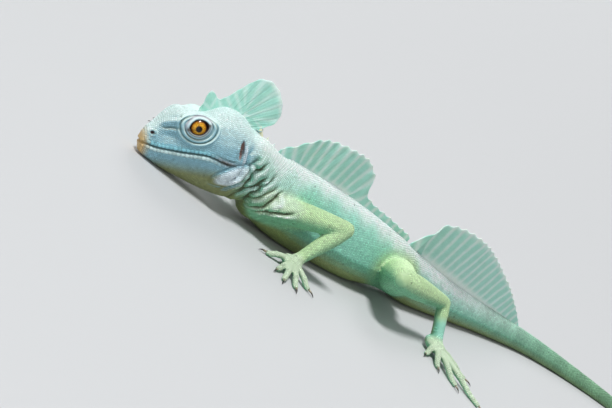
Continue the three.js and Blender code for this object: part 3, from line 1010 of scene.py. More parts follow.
@dataclass(frozen=True)
class Folds:
    """Depths, in millimetres, of what is pressed into or raised on the skin."""

    mouth_depth: float = 0.75
    crease_depth: float = 1.5
    nape_depth: float = 3.2
    creases: tuple = (
        (-82.0, 0.1, 0.5, 12.0, 36.0), (-78.0, 0.16, 1.6, 9.0, 33.0), (-73.5, 0.2, 2.9, 14.0, 34.0),
        (-69.5, 0.3, 0.2, 6.0, 28.0), (-65.0, 0.34, 4.0, 12.0, 31.0), (-60.5, 0.5, 5.2, 8.0, 26.0),
        (-55.0, 0.62, 3.3, 8.0, 25.0), (-48.5, 0.8, 1.1, 10.0, 22.0),
    )

    def depth(self, places: np.ndarray) -> np.ndarray:
        """How far each point of the skin is raised.

        Args:
            places: Rows of x, y, z in metres.

        Returns:
            Heights in millimetres, below 0 where the skin is pressed in.
        """
        along, across, up = head_places(places).T
        on_head = (along < HEAD_REACH + 1) & (np.abs(across) < HEAD_HALF_WIDTH) & (up < 45)
        raised = self.mouth(along, up) + self.face(along, across, up)
        raised += self.ear(along, across, up) + self.nostril(along, across, up)
        nape = bump(along - 63.0, 5.5) * smooth_between(10.0, 4.0, np.abs(across)) * (up > 0)
        return np.where(on_head, raised, 0.0) + self.neck(places)[0] - self.nape_depth * nape

    @staticmethod
    def mouth_height(along: np.ndarray) -> np.ndarray:
        """Height of the closed mouth's line, highest at the snout and dropping at its corner.

        Args:
            along: Distances behind the snout, in millimetres.

        Returns:
            Heights over the jaw line, in millimetres.
        """
        front = 0.9 * smooth_between(8.0, 1.0, along)
        return 3.1 + front + 0.4 * bump(along - 29.0, 7.0) - 3.0 * smooth_between(32.0, 46.0, along)

    def mouth(self, along: np.ndarray, up: np.ndarray) -> np.ndarray:
        """The closed mouth's line and the soft lips beside it.

        Args:
            along: Distances behind the snout, in millimetres.
            up: Heights over the jaw line, in millimetres.

        Returns:
            Heights in millimetres.
        """
        line = up - self.mouth_height(along)
        groove = bump(line, 0.5) * smooth_between(48.0, 45.0, along)
        return -self.mouth_depth * groove + 0.25 * bump(np.abs(line) - 1.3, 0.7) * (along < 42)

    @staticmethod
    def face(along: np.ndarray, across: np.ndarray, up: np.ndarray) -> np.ndarray:
        """Brow ridge, hollow in front of the eye, pucker at the mouth corner and jowl.

        Args:
            along: Distances behind the snout, in millimetres.
            across: Distances to the animal's right, in millimetres.
            up: Heights over the jaw line, in millimetres.

        Returns:
            Heights in millimetres.
        """
        lateral = smooth_between(3.0, 6.0, np.abs(across))
        ridge = 0.7 * bump(up - 16.4 - 0.33 * (along - 10.0), 1.3) * smooth_between(6.0, 10.0, along)
        ridge *= smooth_between(24.0, 19.0, along)
        hollow = 0.7 * bump(along - 13.0, 4.0) * bump(up - 10.0, 2.0)
        streak = 0.5 * bump(Folds.streak_apart(along, up), 0.6) * smooth_between(8.0, 10.0, along)
        streak *= smooth_between(19.0, 16.5, along)
        pucker = 0.35 * np.cos(2.6 * (up + 0.25 * along)) * bump(along - 44.0, 4.0) * bump(up - 1.0, 3.0)
        apart = Folds.jowl_apart(along, up)
        jowl = 0.9 * smooth_between(1.25, 0.6, apart)
        under = 0.9 * bump(apart - 1.3, 0.13)
        cheek = 0.5 * bump(along - 41.0, 5.0) * bump(up - 7.0, 5.0)
        return (ridge - hollow - streak + pucker + jowl - under + cheek) * lateral

    @staticmethod
    def streak_apart(along: np.ndarray, up: np.ndarray) -> np.ndarray:
        """How high a place is, in millimetres, over the groove in front of the eye."""
        return up - 13.4 - 0.16 * (along - 8.8)

    @staticmethod
    def jowl_apart(along: np.ndarray, up: np.ndarray) -> np.ndarray:
        """How far a place is from the middle of the jowl's patch of granules, 1 at its rim."""
        run, rise = along - 47.5, up + 5.8
        return np.hypot((run * 0.92 + rise * 0.38) / 9.6, (rise * 0.92 - run * 0.38) / 4.3)

    @staticmethod
    def ear(along: np.ndarray, across: np.ndarray, up: np.ndarray) -> np.ndarray:
        """The upright ear slit and the pale fold behind and below it.

        Args:
            along: Distances behind the snout, in millimetres.
            across: Distances to the animal's right, in millimetres.
            up: Heights over the jaw line, in millimetres.

        Returns:
            Heights in millimetres.
        """
        slit = smooth_between(1.25, 0.55, Folds.ear_slit(along, up))
        fold = bump(along - EAR[0] - 2.5, 0.9) * bump(up - EAR[1] + 1.8, 5.4)
        front = 0.4 * bump(along - EAR[0] + 2.0, 0.8) * bump(up - EAR[1], 4.4)
        return np.where(np.abs(across) > 7, 0.9 * fold + front - 1.5 * slit, 0.0)

    @staticmethod
    def ear_slit(along: np.ndarray, up: np.ndarray) -> np.ndarray:
        """How far a place is from the ear slit's middle, 1 at its rim."""
        return np.hypot((along - EAR[0] - 0.06 * (up - EAR[1])) / 1.15, (up - EAR[1]) / 4.7)

    @staticmethod
    def nostril_apart(along: np.ndarray, up: np.ndarray) -> np.ndarray:
        """How far a place is from the nostril's middle, in millimetres along the head."""
        return np.hypot(along - NOSTRIL[0], (up - NOSTRIL[1]) * 1.25)

    @staticmethod
    def nostril(along: np.ndarray, across: np.ndarray, up: np.ndarray) -> np.ndarray:
        """Each nostril's pit and its low rim.

        Args:
            along: Distances behind the snout, in millimetres.
            across: Distances to the animal's right, in millimetres.
            up: Heights over the jaw line, in millimetres.

        Returns:
            Heights in millimetres.
        """
        radius = Folds.nostril_apart(along, up)
        raised = 0.4 * bump(radius - 1.5, 0.5) - 1.2 * bump(radius, 0.85)
        return np.where(np.abs(across) > 1.5, raised, 0.0)

    def neck(self, places: np.ndarray) -> tuple:
        """Upright creases of loose skin on both sides of the neck.

        Args:
            places: Rows of x, y, z in metres.

        Returns:
            Heights in millimetres, and how far each place lies on the creased skin.
        """
        x, y, z = (places / MM).T
        here = smooth_between(-88.0, -80.0, x) * smooth_between(-38.0, -46.0, x)
        here *= smooth_between(4.0, 10.0, z) * smooth_between(43.0, 36.0, z)
        side = y - 15.0 * smooth_between(-50.0, -80.0, x) * 0.35
        here *= smooth_between(5.0, 9.0, np.abs(side)) * (np.abs(side) < 26)
        raised = np.zeros(len(x))
        for start, lean, phase, low, high in self.creases:
            line = start + lean * (z - 20.0) + 1.1 * np.sin(0.3 * z + phase)
            line += 0.4 * np.sin(0.9 * z + 2 * phase)
            apart = x - line
            ends = smooth_between(low - 4.0, low + 4.0, z) * smooth_between(high + 4.0, high - 4.0, z)
            reach = ends * (0.8 + 0.25 * np.sin(0.31 * z + 2.0 * phase))
            raised -= self.crease_depth * reach * bump(apart, 1.05)
            raised += 0.7 * reach * bump(apart - 2.3, 1.3)
        return raised * here, here


@dataclass(frozen=True)
class Orbit:
    """The lids and the rings of folded skin round one eye, finer than the skin they lie on."""

    side: Side
    half_length: float = 4.8
    half_height: float = 3.75
    slant: float = 0.3
    pitch: float = 0.19
    thickness: float = 0.35 * MM
    turns: int = 132
    steps: int = 46

    @staticmethod
    def axes(side: Side) -> tuple:
        """The eye's centre and the three directions of its socket.

        Args:
            side: The eye's side.

        Returns:
            The centre in metres, and the directions tailward, upward and outward.
        """
        centre = np.array(head_point(EYE_PLACE[0], side.value * EYE_PLACE[1], EYE_PLACE[2]))
        turn = np.array(HEAD_TURN.to_3x3())
        outward = unit(turn @ np.array([-0.14, side.value, 0.2]))
        tailward = turn @ np.array([1.0, 0.0, 0.0])
        tailward = unit(tailward - outward * (tailward @ outward))
        upward = np.cross(outward, tailward) * -side.value
        return centre, tailward, upward, outward

    @staticmethod
    def spread(places: np.ndarray, side: Side) -> tuple:
        """How places lie round an eye.

        Args:
            places: Rows of x, y, z in metres.
            side: The eye's side.

        Returns:
            Heights over the eye's centre in millimetres, and shares of the way to the rim.
        """
        centre, tailward, upward, outward = Orbit.axes(side)
        offset = (places - centre) / MM
        run, rise = offset @ tailward, offset @ upward
        return offset @ outward, np.hypot(run, rise) / Orbit.rim(np.arctan2(rise, run))

    @staticmethod
    def rim(angle: np.ndarray) -> np.ndarray:
        """Distance of the orbit's rim from the eye's axis, by the angle from tailward to upward."""
        high = np.where(np.sin(angle) > 0.0, 6.5, 9.4)
        return 1.0 / np.hypot(np.cos(angle) / 11.3, np.sin(angle) / high)

    @staticmethod
    def dome(share: np.ndarray) -> np.ndarray:
        """Height of the swollen orbit over the eye's centre, by the share of the way to its rim."""
        return 4.9 * np.sqrt(np.clip(1.0 - share**2, 0.0, 1.0))

    @staticmethod
    def cleared(places: np.ndarray) -> np.ndarray:
        """Press the skin down under the lids.

        Args:
            places: Rows of x, y, z in metres.

        Returns:
            The rows, lowered where the lids lie over them.
        """
        for side in Side:
            height, share = Orbit.spread(places, side)
            over = np.maximum(height - Orbit.dome(share) + 0.6, 0.0)
            over = np.where((share < 0.88) & (height > 0.0), over, 0.0)
            places = places - Orbit.axes(side)[3] * (over * MM)[:, None]
        return places

    def opening(self, angle: np.ndarray) -> np.ndarray:
        """The lids' edge, round an eye's axis.

        Args:
            angle: Angles from tailward to upward.

        Returns:
            Distances from the axis, in millimetres.
        """
        power = 1.75
        length = np.abs(np.cos(angle - self.slant) / self.half_length) ** power
        height = np.abs(np.sin(angle - self.slant) / self.half_height) ** power
        return (length + height) ** (-1.0 / power)

    def build(self, skin: Surface, finish: HideFinish, palette: Palette, body: Build) -> bpy.types.Object:
        """Model the lids and their folds over the skin.

        Args:
            skin: The skin that they lie on.
            finish: The hide's finish.
            palette: The animal's colours.
            body: The animal's build.

        Returns:
            The lids' object.
        """
        piece, turn, share = grid_piece(f"lids_{self.side.word}", self.turns, self.steps)
        angle = turn * 2 * np.pi
        centre, tailward, upward, outward = self.axes(self.side)
        edge, rim = self.opening(angle), self.rim(angle)
        radius = edge - 0.25 + (rim - edge + 0.25) * share
        spokes = np.cos(angle)[:, None] * tailward + np.sin(angle)[:, None] * upward
        ball = np.sqrt(np.clip(EYE_RADIUS**2 - radius**2, 0.0, None))
        out, past = radius / rim, radius - edge
        height = np.maximum(self.dome(out), ball + 0.3)
        height += 0.55 * bump(past - 0.75, 0.55) - (height - ball + 0.1) * bump(past + 0.25, 0.32)
        window = smooth_between(1.2, 2.0, past) * smooth_between(1.0, 0.93, out)
        folds = 0.42 * self.fold_wave(out, angle) * window
        height += folds - 0.35 * bump(past - 1.9, 0.35)
        under = self.dome(out)
        outer = out > 0.76
        under[outer] = -1.0
        for index in np.nonzero(outer)[0]:
            start = centre + spokes[index] * radius[index] * MM + outward * 0.02
            reach = skin.reach(start, -outward, 0.03)
            if not math.isnan(reach):
                under[index] = (0.02 - reach) / MM
        blend = smooth_between(0.78, 0.95, out)
        height = height * (1 - blend) + (under + 0.1 + folds) * blend
        height -= 0.7 * smooth_between(0.955, 1.0, out)
        places = centre + spokes * (radius * MM)[:, None] + outward * (height * MM)[:, None]
        set_places(piece.data, places)
        apply_modifier(piece, "WELD", merge_threshold=SEAM_WELD)
        choose(piece)
        bpy.ops.object.mode_set(mode="EDIT")
        bpy.ops.mesh.select_all(action="SELECT")
        if self.side is Side.RIGHT:
            bpy.ops.mesh.flip_normals()
        bpy.ops.object.mode_set(mode="OBJECT")
        apply_modifier(piece, "SOLIDIFY", thickness=self.thickness, offset=-1.0)
        self.colour(piece, finish, palette, body)
        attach(piece, "root")
        return piece

    def fold_wave(self, out: np.ndarray, angle: np.ndarray) -> np.ndarray:
        """Crests and valleys of the rings of skin, from 1 to -1."""
        return np.cos(2 * np.pi * (out - 0.915) / self.pitch + 0.6 * np.sin(angle * 2.0 + 0.6))

    def colour(self, piece: bpy.types.Object, finish: HideFinish, palette: Palette, body: Build) -> None:
        """Paint the lids: dark at the eye, with painted shade in the folds, on the lower lid and in the
        corners.

        Args:
            piece: The lids' object.
            finish: The hide's finish.
            palette: The animal's colours.
            body: The animal's build.
        """
        places = vertex_places(piece.data)
        centre, tailward, upward, _ = self.axes(self.side)
        offset = (places - centre) / MM
        run, rise = offset @ tailward, offset @ upward
        radius, angle = np.hypot(run, rise), np.arctan2(rise, run)
        past = radius - self.opening(angle)
        colours = palette.at(places, vertex_normals(piece.data), body)
        out = radius / self.rim(angle)
        valley = 0.5 - 0.5 * self.fold_wave(out, angle)
        window = smooth_between(1.2, 2.0, past) * smooth_between(1.0, 0.95, out)
        # Painted shade in the valleys between the lid's folds
        deep = (0.35 + 0.3 * (out > 0.75)) * valley**3 * window
        colours = palette.over(colours, palette.fold, deep)
        level = np.cos(self.slant) * run + np.sin(self.slant) * rise
        lift = np.cos(self.slant) * rise - np.sin(self.slant) * run
        above = smooth_between(-0.5, 1.5, lift)
        colours = palette.over(colours, palette.jowl, 0.4 * bump(past - 1.0, 0.6))
        colours = palette.over(colours, palette.lid_pink, 0.6 * bump(past - 1.9, 0.45) * above)
        # Painted shade on the lower lid
        colours = palette.over(colours, palette.lid_shade, 0.8 * bump(past - 0.7, 0.45) * (1 - above))
        colours = palette.over(colours, palette.lid_shade, 0.6 * bump(past - 2.0, 0.3) * (1 - above))
        colours = palette.over(colours, palette.lid_edge, smooth_between(0.45, 0.1, past))
        # Painted shade in the eye's front and rear corners
        corner = bump(level + 5.4, 1.1) * bump(lift, 1.0) + bump(level - 5.3, 0.8) * bump(lift, 0.6)
        colours = palette.over(colours, palette.lid_shade, 0.85 * corner)
        paint(piece, colours)
        give_finish(piece, finish.material())


@dataclass(frozen=True)
class Tract:
    """A stretch of hide covered by rows of scales, square across a middle line."""

    line: np.ndarray
    pitch: float
    reach: float
    rays: int = 96
    height: float = 0.24
    longer: float = 1.12
    wider: float = 1.02
    sizes: Optional[Callable[[np.ndarray], np.ndarray]] = None
    on_lips: bool = False

    def lay(self, skin: Surface) -> tuple:
        """Places of the scales, row by row, each row shifted by half a scale.

        Args:
            skin: The skin.

        Returns:
            Places on the skin, directions along the line, and shares along and round it.
        """
        steps = np.linalg.norm(np.diff(self.line, axis=0), axis=1)
        run = np.concatenate([[0.0], np.cumsum(steps)])
        rows = max(2, int(run[-1] / (self.pitch * 0.82)))
        spots, lies, shares = [], [], []
        turns = np.arange(self.rays) * 2 * np.pi / self.rays
        for row in range(rows):
            at = (row + 0.5) / rows * run[-1]
            centre = self.point(run, at)
            along = unit(self.point(run, at + 0.5 * MM) - self.point(run, at - 0.5 * MM))
            upright = np.array([0.0, 0.0, 1.0]) if abs(along[2]) < 0.9 else np.array([1.0, 0.0, 0.0])
            upright = unit(upright - along * (upright @ along))
            aside = np.cross(along, upright)
            aims = np.cos(turns)[:, None] * upright + np.sin(turns)[:, None] * aside
            lengths = np.array([skin.reach(centre, aim, self.reach) for aim in aims])
            good = ~np.isnan(lengths)
            if good.sum() < 4:
                continue
            filled = np.where(good, lengths, np.nanmedian(lengths))
            ring = centre + aims * filled[:, None]
            closed = np.vstack([ring, ring[:1]])
            arcs = np.concatenate([[0.0], np.cumsum(np.linalg.norm(np.diff(closed, axis=0), axis=1))])
            count = max(5, round(arcs[-1] / self.pitch))
            wanted = (np.arange(count) + 0.5 * (row % 2)) / count * arcs[-1]
            cell = np.clip(np.searchsorted(arcs, wanted, side="right") - 1, 0, self.rays - 1)
            kept = good[cell] & good[(cell + 1) % self.rays]
            part = (wanted - arcs[cell]) / (arcs[cell + 1] - arcs[cell] + 1e-12)
            spot = closed[cell] + (closed[cell + 1] - closed[cell]) * part[:, None]
            spots.append(spot[kept])
            lies.append(np.tile(along, (kept.sum(), 1)))
            share = np.stack([np.full(count, at / run[-1]), wanted / arcs[-1]], axis=1)
            shares.append(share[kept])
        return np.vstack(spots), np.vstack(lies), np.vstack(shares)

    def point(self, run: np.ndarray, at: float) -> np.ndarray:
        """Place of the middle line at a distance run along it."""
        return np.array([np.interp(at, run, self.line[:, axis]) for axis in range(3)])


@dataclass(frozen=True)
class LipRow(Tract):
    """A row of plates along one lip, from beside the snout to the mouth's corner."""

    side: Side = Side.LEFT
    offset: float = 0.0

    def lay(self, skin: Surface) -> tuple:
        """Places of the plates.

        Args:
            skin: The skin.

        Returns:
            Places on the skin, directions along the lip, and shares along it.
        """
        spots, lies, shares = [], [], []
        steps = np.arange(2.6, 41.0, self.pitch / MM)
        for step, along in enumerate(steps):
            up = float(Folds.mouth_height(np.array(along))) + self.offset
            start = np.array(head_point(along - 2.0, self.side.value * 24.0, up))
            end = np.array(head_point(along + 2.0 * bump(along, 8.0), 0.0, up))
            aim = unit(end - start)
            reach = skin.reach(start, aim, 0.026)
            if math.isnan(reach):
                continue
            spots.append(start + aim * reach)
            shares.append((step / len(steps), 0.5 + 0.2 * np.sign(self.offset)))
        lies = unit(np.gradient(np.array(spots), axis=0))
        return np.array(spots), lies, np.array(shares)


class Coat:
    """All the scales, laid tract by tract and joined into a few pieces."""

    cell = 0.7 * MM
    patch = 0.003
    fleck_share = 0.0012
    fleck_tone = 0.45
    gap_share = 0.62
    tip_lift = 0.13

    def __init__(self, skin: Surface, palette: Palette, body: Build) -> None:
        """Model the one scale that is copied, and start with bare skin.

        Args:
            skin: The skin.
            palette: The animal's colours.
            body: The animal's build.
        """
        self.skin, self.palette, self.body = skin, palette, body
        self.random = np.random.default_rng(SEED)
        self.taken = {}
        self.pattern, self.faces = self.single_scale()

    @staticmethod
    def single_scale() -> tuple:
        """One scale: a six-sided plate with a sunk rim and a keel towards its tip.

        Returns:
            Its vertices, for a scale 1 long, 1 wide and 1 high, and its faces.
        """
        deselect_all()
        bpy.ops.mesh.primitive_circle_add(vertices=6, radius=0.56, fill_type="NGON")
        scale = bpy.context.object
        bpy.ops.object.mode_set(mode="EDIT")
        bpy.ops.mesh.select_all(action="SELECT")
        bpy.ops.mesh.extrude_region_move(TRANSFORM_OT_translate={"value": (0.02, 0.0, 0.75)})
        bpy.ops.transform.resize(value=(0.66, 0.6, 1.0))
        bpy.ops.mesh.poke(offset=0.3)
        bpy.ops.mesh.select_all(action="SELECT")
        bpy.ops.mesh.normals_make_consistent(inside=False)
        bpy.ops.object.mode_set(mode="OBJECT")
        places = vertex_places(scale.data)
        places[:, 2] -= 0.3
        places[:, 0] += np.where(places[:, 2] > 0.6, 0.12, 0.0)
        faces = [tuple(polygon.vertices) for polygon in scale.data.polygons]
        bpy.data.objects.remove(scale)
        return places, faces

    def free(self, spot: np.ndarray, gap: float) -> bool:
        """Whether no scale lies near a place yet, and note it if so.

        Args:
            spot: The place.
            gap: How near another may lie.

        Returns:
            True where a scale may be laid.
        """
        home = tuple(np.floor(spot / self.cell).astype(int))
        for i in (-1, 0, 1):
            for j in (-1, 0, 1):
                for k in (-1, 0, 1):
                    for other in self.taken.get((home[0] + i, home[1] + j, home[2] + k), ()):
                        apart = spot - other
                        if apart @ apart < gap * gap:
                            return False
        self.taken.setdefault(home, []).append(spot)
        return True

    @staticmethod
    def bare(spots: np.ndarray) -> np.ndarray:
        """Where the hide has no scales: eyes, nostrils, mouth, ears and the floor's contact.

        Args:
            spots: Rows of x, y, z in metres.

        Returns:
            True for each place that stays bare.
        """
        along, across, up = head_places(spots).T
        lateral = np.abs(across) > 2.0
        none = np.zeros(len(spots), bool)
        for side in Side:
            height, share = Orbit.spread(spots, side)
            none |= (share < 0.96) & (height > 0.5)
        none |= (Folds.nostril_apart(along, up) < 1.5) & lateral
        line = up - Folds.mouth_height(along)
        none |= (np.abs(line) < 2.15) & (along < 41.5) & (along > 1.5)
        none |= (np.abs(line) < 0.8) & (along < 47.0) & (along > -4)
        none |= (Folds.ear_slit(along, up) < 1.1) & (np.abs(across) > 7)
        return none | (spots[:, 2] < 0.45 * MM)

    def lay(self, tract: Tract, cell: tuple) -> dict:
        """Lay one tract's scales.

        Args:
            tract: The tract.
            cell: Low u, low v and width of its island on the unwrap.

        Returns:
            Arrays of places, normals, lies, sizes, unwrap places and colours.
        """
        spots, lies, shares = tract.lay(self.skin)
        places, normals = self.skin.nearest(spots)
        keep = np.ones(len(places), bool) if tract.on_lips else ~self.bare(places)
        scale = np.ones(len(places)) if tract.sizes is None else tract.sizes(places)
        gap = self.gap_share * tract.pitch
        keep &= np.array([
            keep[index] and self.free(places[index], gap * scale[index]) for index in range(len(places))
        ], bool)
        places, normals, lies, shares, scale = (
            part[keep] for part in (places, normals, lies, shares, scale)
        )
        jitter = 1.0 + 0.07 * self.random.standard_normal((len(places), 1))
        sizes = np.array([tract.pitch * tract.longer, tract.pitch * tract.wider, tract.height * MM]) * jitter
        sizes *= scale[:, None]
        colours = self.palette.at(places, normals, self.body)
        tone = 1.0 + 0.09 * self.random.standard_normal(len(places))
        fleck = self.random.random(len(places)) < self.fleck_share
        tone = np.where(fleck, self.fleck_tone, tone)
        margin = 0.04 * cell[2]
        unwrap = np.array(cell[:2]) + margin + shares * (cell[2] - 2 * margin)
        return {
            "places": places, "normals": normals, "lies": lies, "sizes": sizes,
            "unwrap": unwrap, "colours": colours * tone[:, None],
        }

    def piece(self, name: str, tracts: Sequence[Tract], slot: str, finish: bpy.types.Material) -> None:
        """Lay some tracts and join their scales into one piece.

        Args:
            name: The piece's name.
            tracts: The tracts.
            slot: Not used.
            finish: Its material.
        """
        across = math.ceil(math.sqrt(len(tracts)))
        beds = []
        for index, tract in enumerate(tracts):
            cell = ((index % across) / across, (index // across) / across, 1.0 / across)
            beds.append(self.lay(tract, cell))
        bed = {key: np.concatenate([one[key] for one in beds]) for key in beds[0]}
        piece = self.stamp(name, bed)
        piece.data.materials.append(finish)
        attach(piece, "root")
        LOG.info("%s: %d scales, %d faces", name, len(bed["places"]), len(piece.data.polygons))

    def stamp(self, name: str, bed: dict) -> bpy.types.Object:
        """Copy the one scale to every place of a bed, as one joined mesh.

        Args:
            name: The piece's name.
            bed: Arrays of places, normals, lies, sizes, unwrap places and colours.

        Returns:
            The piece.
        """
        normals, places = bed["normals"], bed["places"]
        lies = unit(bed["lies"] - normals * (bed["lies"] * normals).sum(axis=1)[:, None])
        lies = unit(lies + self.tip_lift * normals)
        sides = unit(np.cross(normals, lies))
        rises = np.cross(lies, sides)
        grown = self.pattern[None] * bed["sizes"][:, None]
        corners = places[:, None] + grown[..., 0:1] * lies[:, None] + grown[..., 1:2] * sides[:, None]
        corners = corners + grown[..., 2:3] * rises[:, None]
        corners[..., 2] = np.maximum(corners[..., 2], 0.0)
        count, points = len(places), len(self.pattern)
        order = np.concatenate([np.array(face) for face in self.faces])
        starts = np.cumsum([0] + [len(face) for face in self.faces[:-1]])
        shift = np.arange(count)[:, None]
        mesh = bpy.data.meshes.new(name)
        mesh.vertices.add(count * points)
        mesh.loops.add(count * len(order))
        mesh.polygons.add(count * len(starts))
        mesh.vertices.foreach_set("co", corners.astype(np.float32).ravel())
        mesh.loops.foreach_set("vertex_index", (order[None] + shift * points).astype(np.int32).ravel())
        mesh.polygons.foreach_set("loop_start", (starts[None] + shift * len(order)).astype(np.int32).ravel())
        mesh.polygons.foreach_set("use_smooth", np.ones(count * len(starts), bool))
        mesh.update(calc_edges=True)
        piece = bpy.data.objects.new(name, mesh)
        bpy.context.scene.collection.objects.link(piece)
        spread = self.pattern[order][:, :2] * self.patch
        unwrap = mesh.uv_layers.new(name=BAKE_MAP)
        patches = np.clip(bed["unwrap"][:, None] + spread[None], 0.0, 1.0)
        unwrap.data.foreach_set("uv", patches.astype(np.float32).ravel())
        height = self.pattern[:, 2]
        # Painted shade towards each scale's base where it meets the skin, and a painted highlight at its tip
        shade = 0.62 + 0.42 * smooth_between(-0.3, 0.45, height) + 0.06 * smooth_between(0.5, 0.7, height)
        paint(piece, (bed["colours"][:, None] * shade[None, :, None]).reshape(-1, 3))
        return piece


def scale_tracts(body: Build) -> list:
    """The tracts of every coat piece, in the order in which they are laid.

    Args:
        body: The animal's build.

    Returns:
        Rows of a piece's name, its slot and its tracts.
    """
    spine = body.spine
    level = np.stack([spine.xs, spine.middle, 0.42 * spine.top], axis=1)
    behind = spine.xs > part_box("torso")[1].x
    head_line = np.array([head_point(a, 0.0, 4.0) for a in (0.8, 20.0, 40.0, 60.0)])
    nape = np.array(head_point(HEAD_LENGTH - 3, 0.0, 2.5))
    ahead = unit(np.array(HEAD_TURN.to_3x3() @ Vector((1.0, 0.0, 0.0))))
    shoulders = np.array([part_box("torso")[0].x, 0.0, 17.0 * MM])
    bend = np.array([nape, nape + 14 * MM * ahead, shoulders - [12 * MM, 0, 0], shoulders])
    t = np.linspace(0.0, 1.0, 20)[:, None]
    neck_line = bend[0] * (1 - t) ** 3 + 3 * bend[1] * t * (1 - t) ** 2
    neck_line = neck_line + 3 * bend[2] * t**2 * (1 - t) + bend[3] * t**3

    def head_sizes(places: np.ndarray) -> np.ndarray:
        """Scale sizes on the head: larger on the snout and lips, small at the orbit.

        Args:
            places: Rows of x, y, z in metres.

        Returns:
            One size for each place, as a share of the tract's own.
        """
        along, _, up = head_places(places).T
        granules = 0.2 * smooth_between(1.2, 0.8, Folds.jowl_apart(along, up))
        snout = 0.35 * smooth_between(12.0, 4.0, along)
        return 1.0 + snout - 0.12 * bump(along - 26.0, 8.0) * (up > 6) + granules

    def tail_sizes(places: np.ndarray) -> np.ndarray:
        """Scale sizes along the tail: largest at its root."""
        return 1.0 - 0.35 * smooth_between(250.0, 520.0, places[:, 0] / MM)

    lips = [
        LipRow(
            head_line, 2.05 * MM, 0.0, height=0.3, longer=1.3, wider=0.86,
            on_lips=True, side=side, offset=offset,
        )
        for side in Side for offset in (1.3, -1.3)
    ]
    rows = [("labials", "head_skin", lips)]
    head_tract = Tract(head_line, 0.98 * MM, 32 * MM, 120, 0.2, 1.05, sizes=head_sizes)
    rows.append(("scales_head", "head_skin", [head_tract]))
    for plan in body.limbs:
        tracts = []
        for digit in plan.digits:
            line = np.linspace(digit.root, digit.tip, 12)[2:]
            line[:, 2] = np.linspace(2.6, 1.1, len(line)) * MM
            tracts.append(Tract(line, 0.92 * MM, 3.2 * MM, 22, 0.24, 1.2))
        tracts.append(Tract(np.array([plan.lower[1], plan.palm]), 0.95 * MM, 8.5 * MM, 48, 0.22))
        tracts.append(Tract(inset(plan.lower), 1.0 * MM, (9.5 if plan.hind else 6.5) * MM, 48, 0.24))
        tracts.append(Tract(inset(plan.upper), 1.05 * MM, (13.5 if plan.hind else 9.5) * MM, 64, 0.24))
        rows.append((f"scales_{plan.names[2]}", "limb_skin", tracts[:6]))
        rows.append((f"scales_{plan.names[0]}", "limb_skin", tracts[6:]))
    rows.append(("scales_neck", "body_skin", [Tract(neck_line, 1.05 * MM, 27 * MM, 120, 0.24)]))
    hips = len(level[~behind])
    half = hips // 2
    for name, stretch in (("front", level[: half + 1]), ("rear", level[half : hips + 1])):
        rows.append((f"scales_torso_{name}", "body_skin", [Tract(stretch, 1.1 * MM, 27 * MM, 120, 0.24)]))
    tail = level[behind]
    split = len(tail) // 3
    for name, stretch in (("root", tail[: split + 1]), ("tip", tail[split:])):
        tract = Tract(stretch, 1.35 * MM, 24 * MM, 60, 0.32, 1.25, sizes=tail_sizes)
        rows.append((f"scales_tail_{name}", "body_skin", [tract]))
    return rows


def inset(ends: np.ndarray) -> np.ndarray:
    """A straight stretch pulled in a little at both ends."""
    return np.array([ends[0] + 0.03 * (ends[1] - ends[0]), ends[1] - 0.02 * (ends[1] - ends[0])])


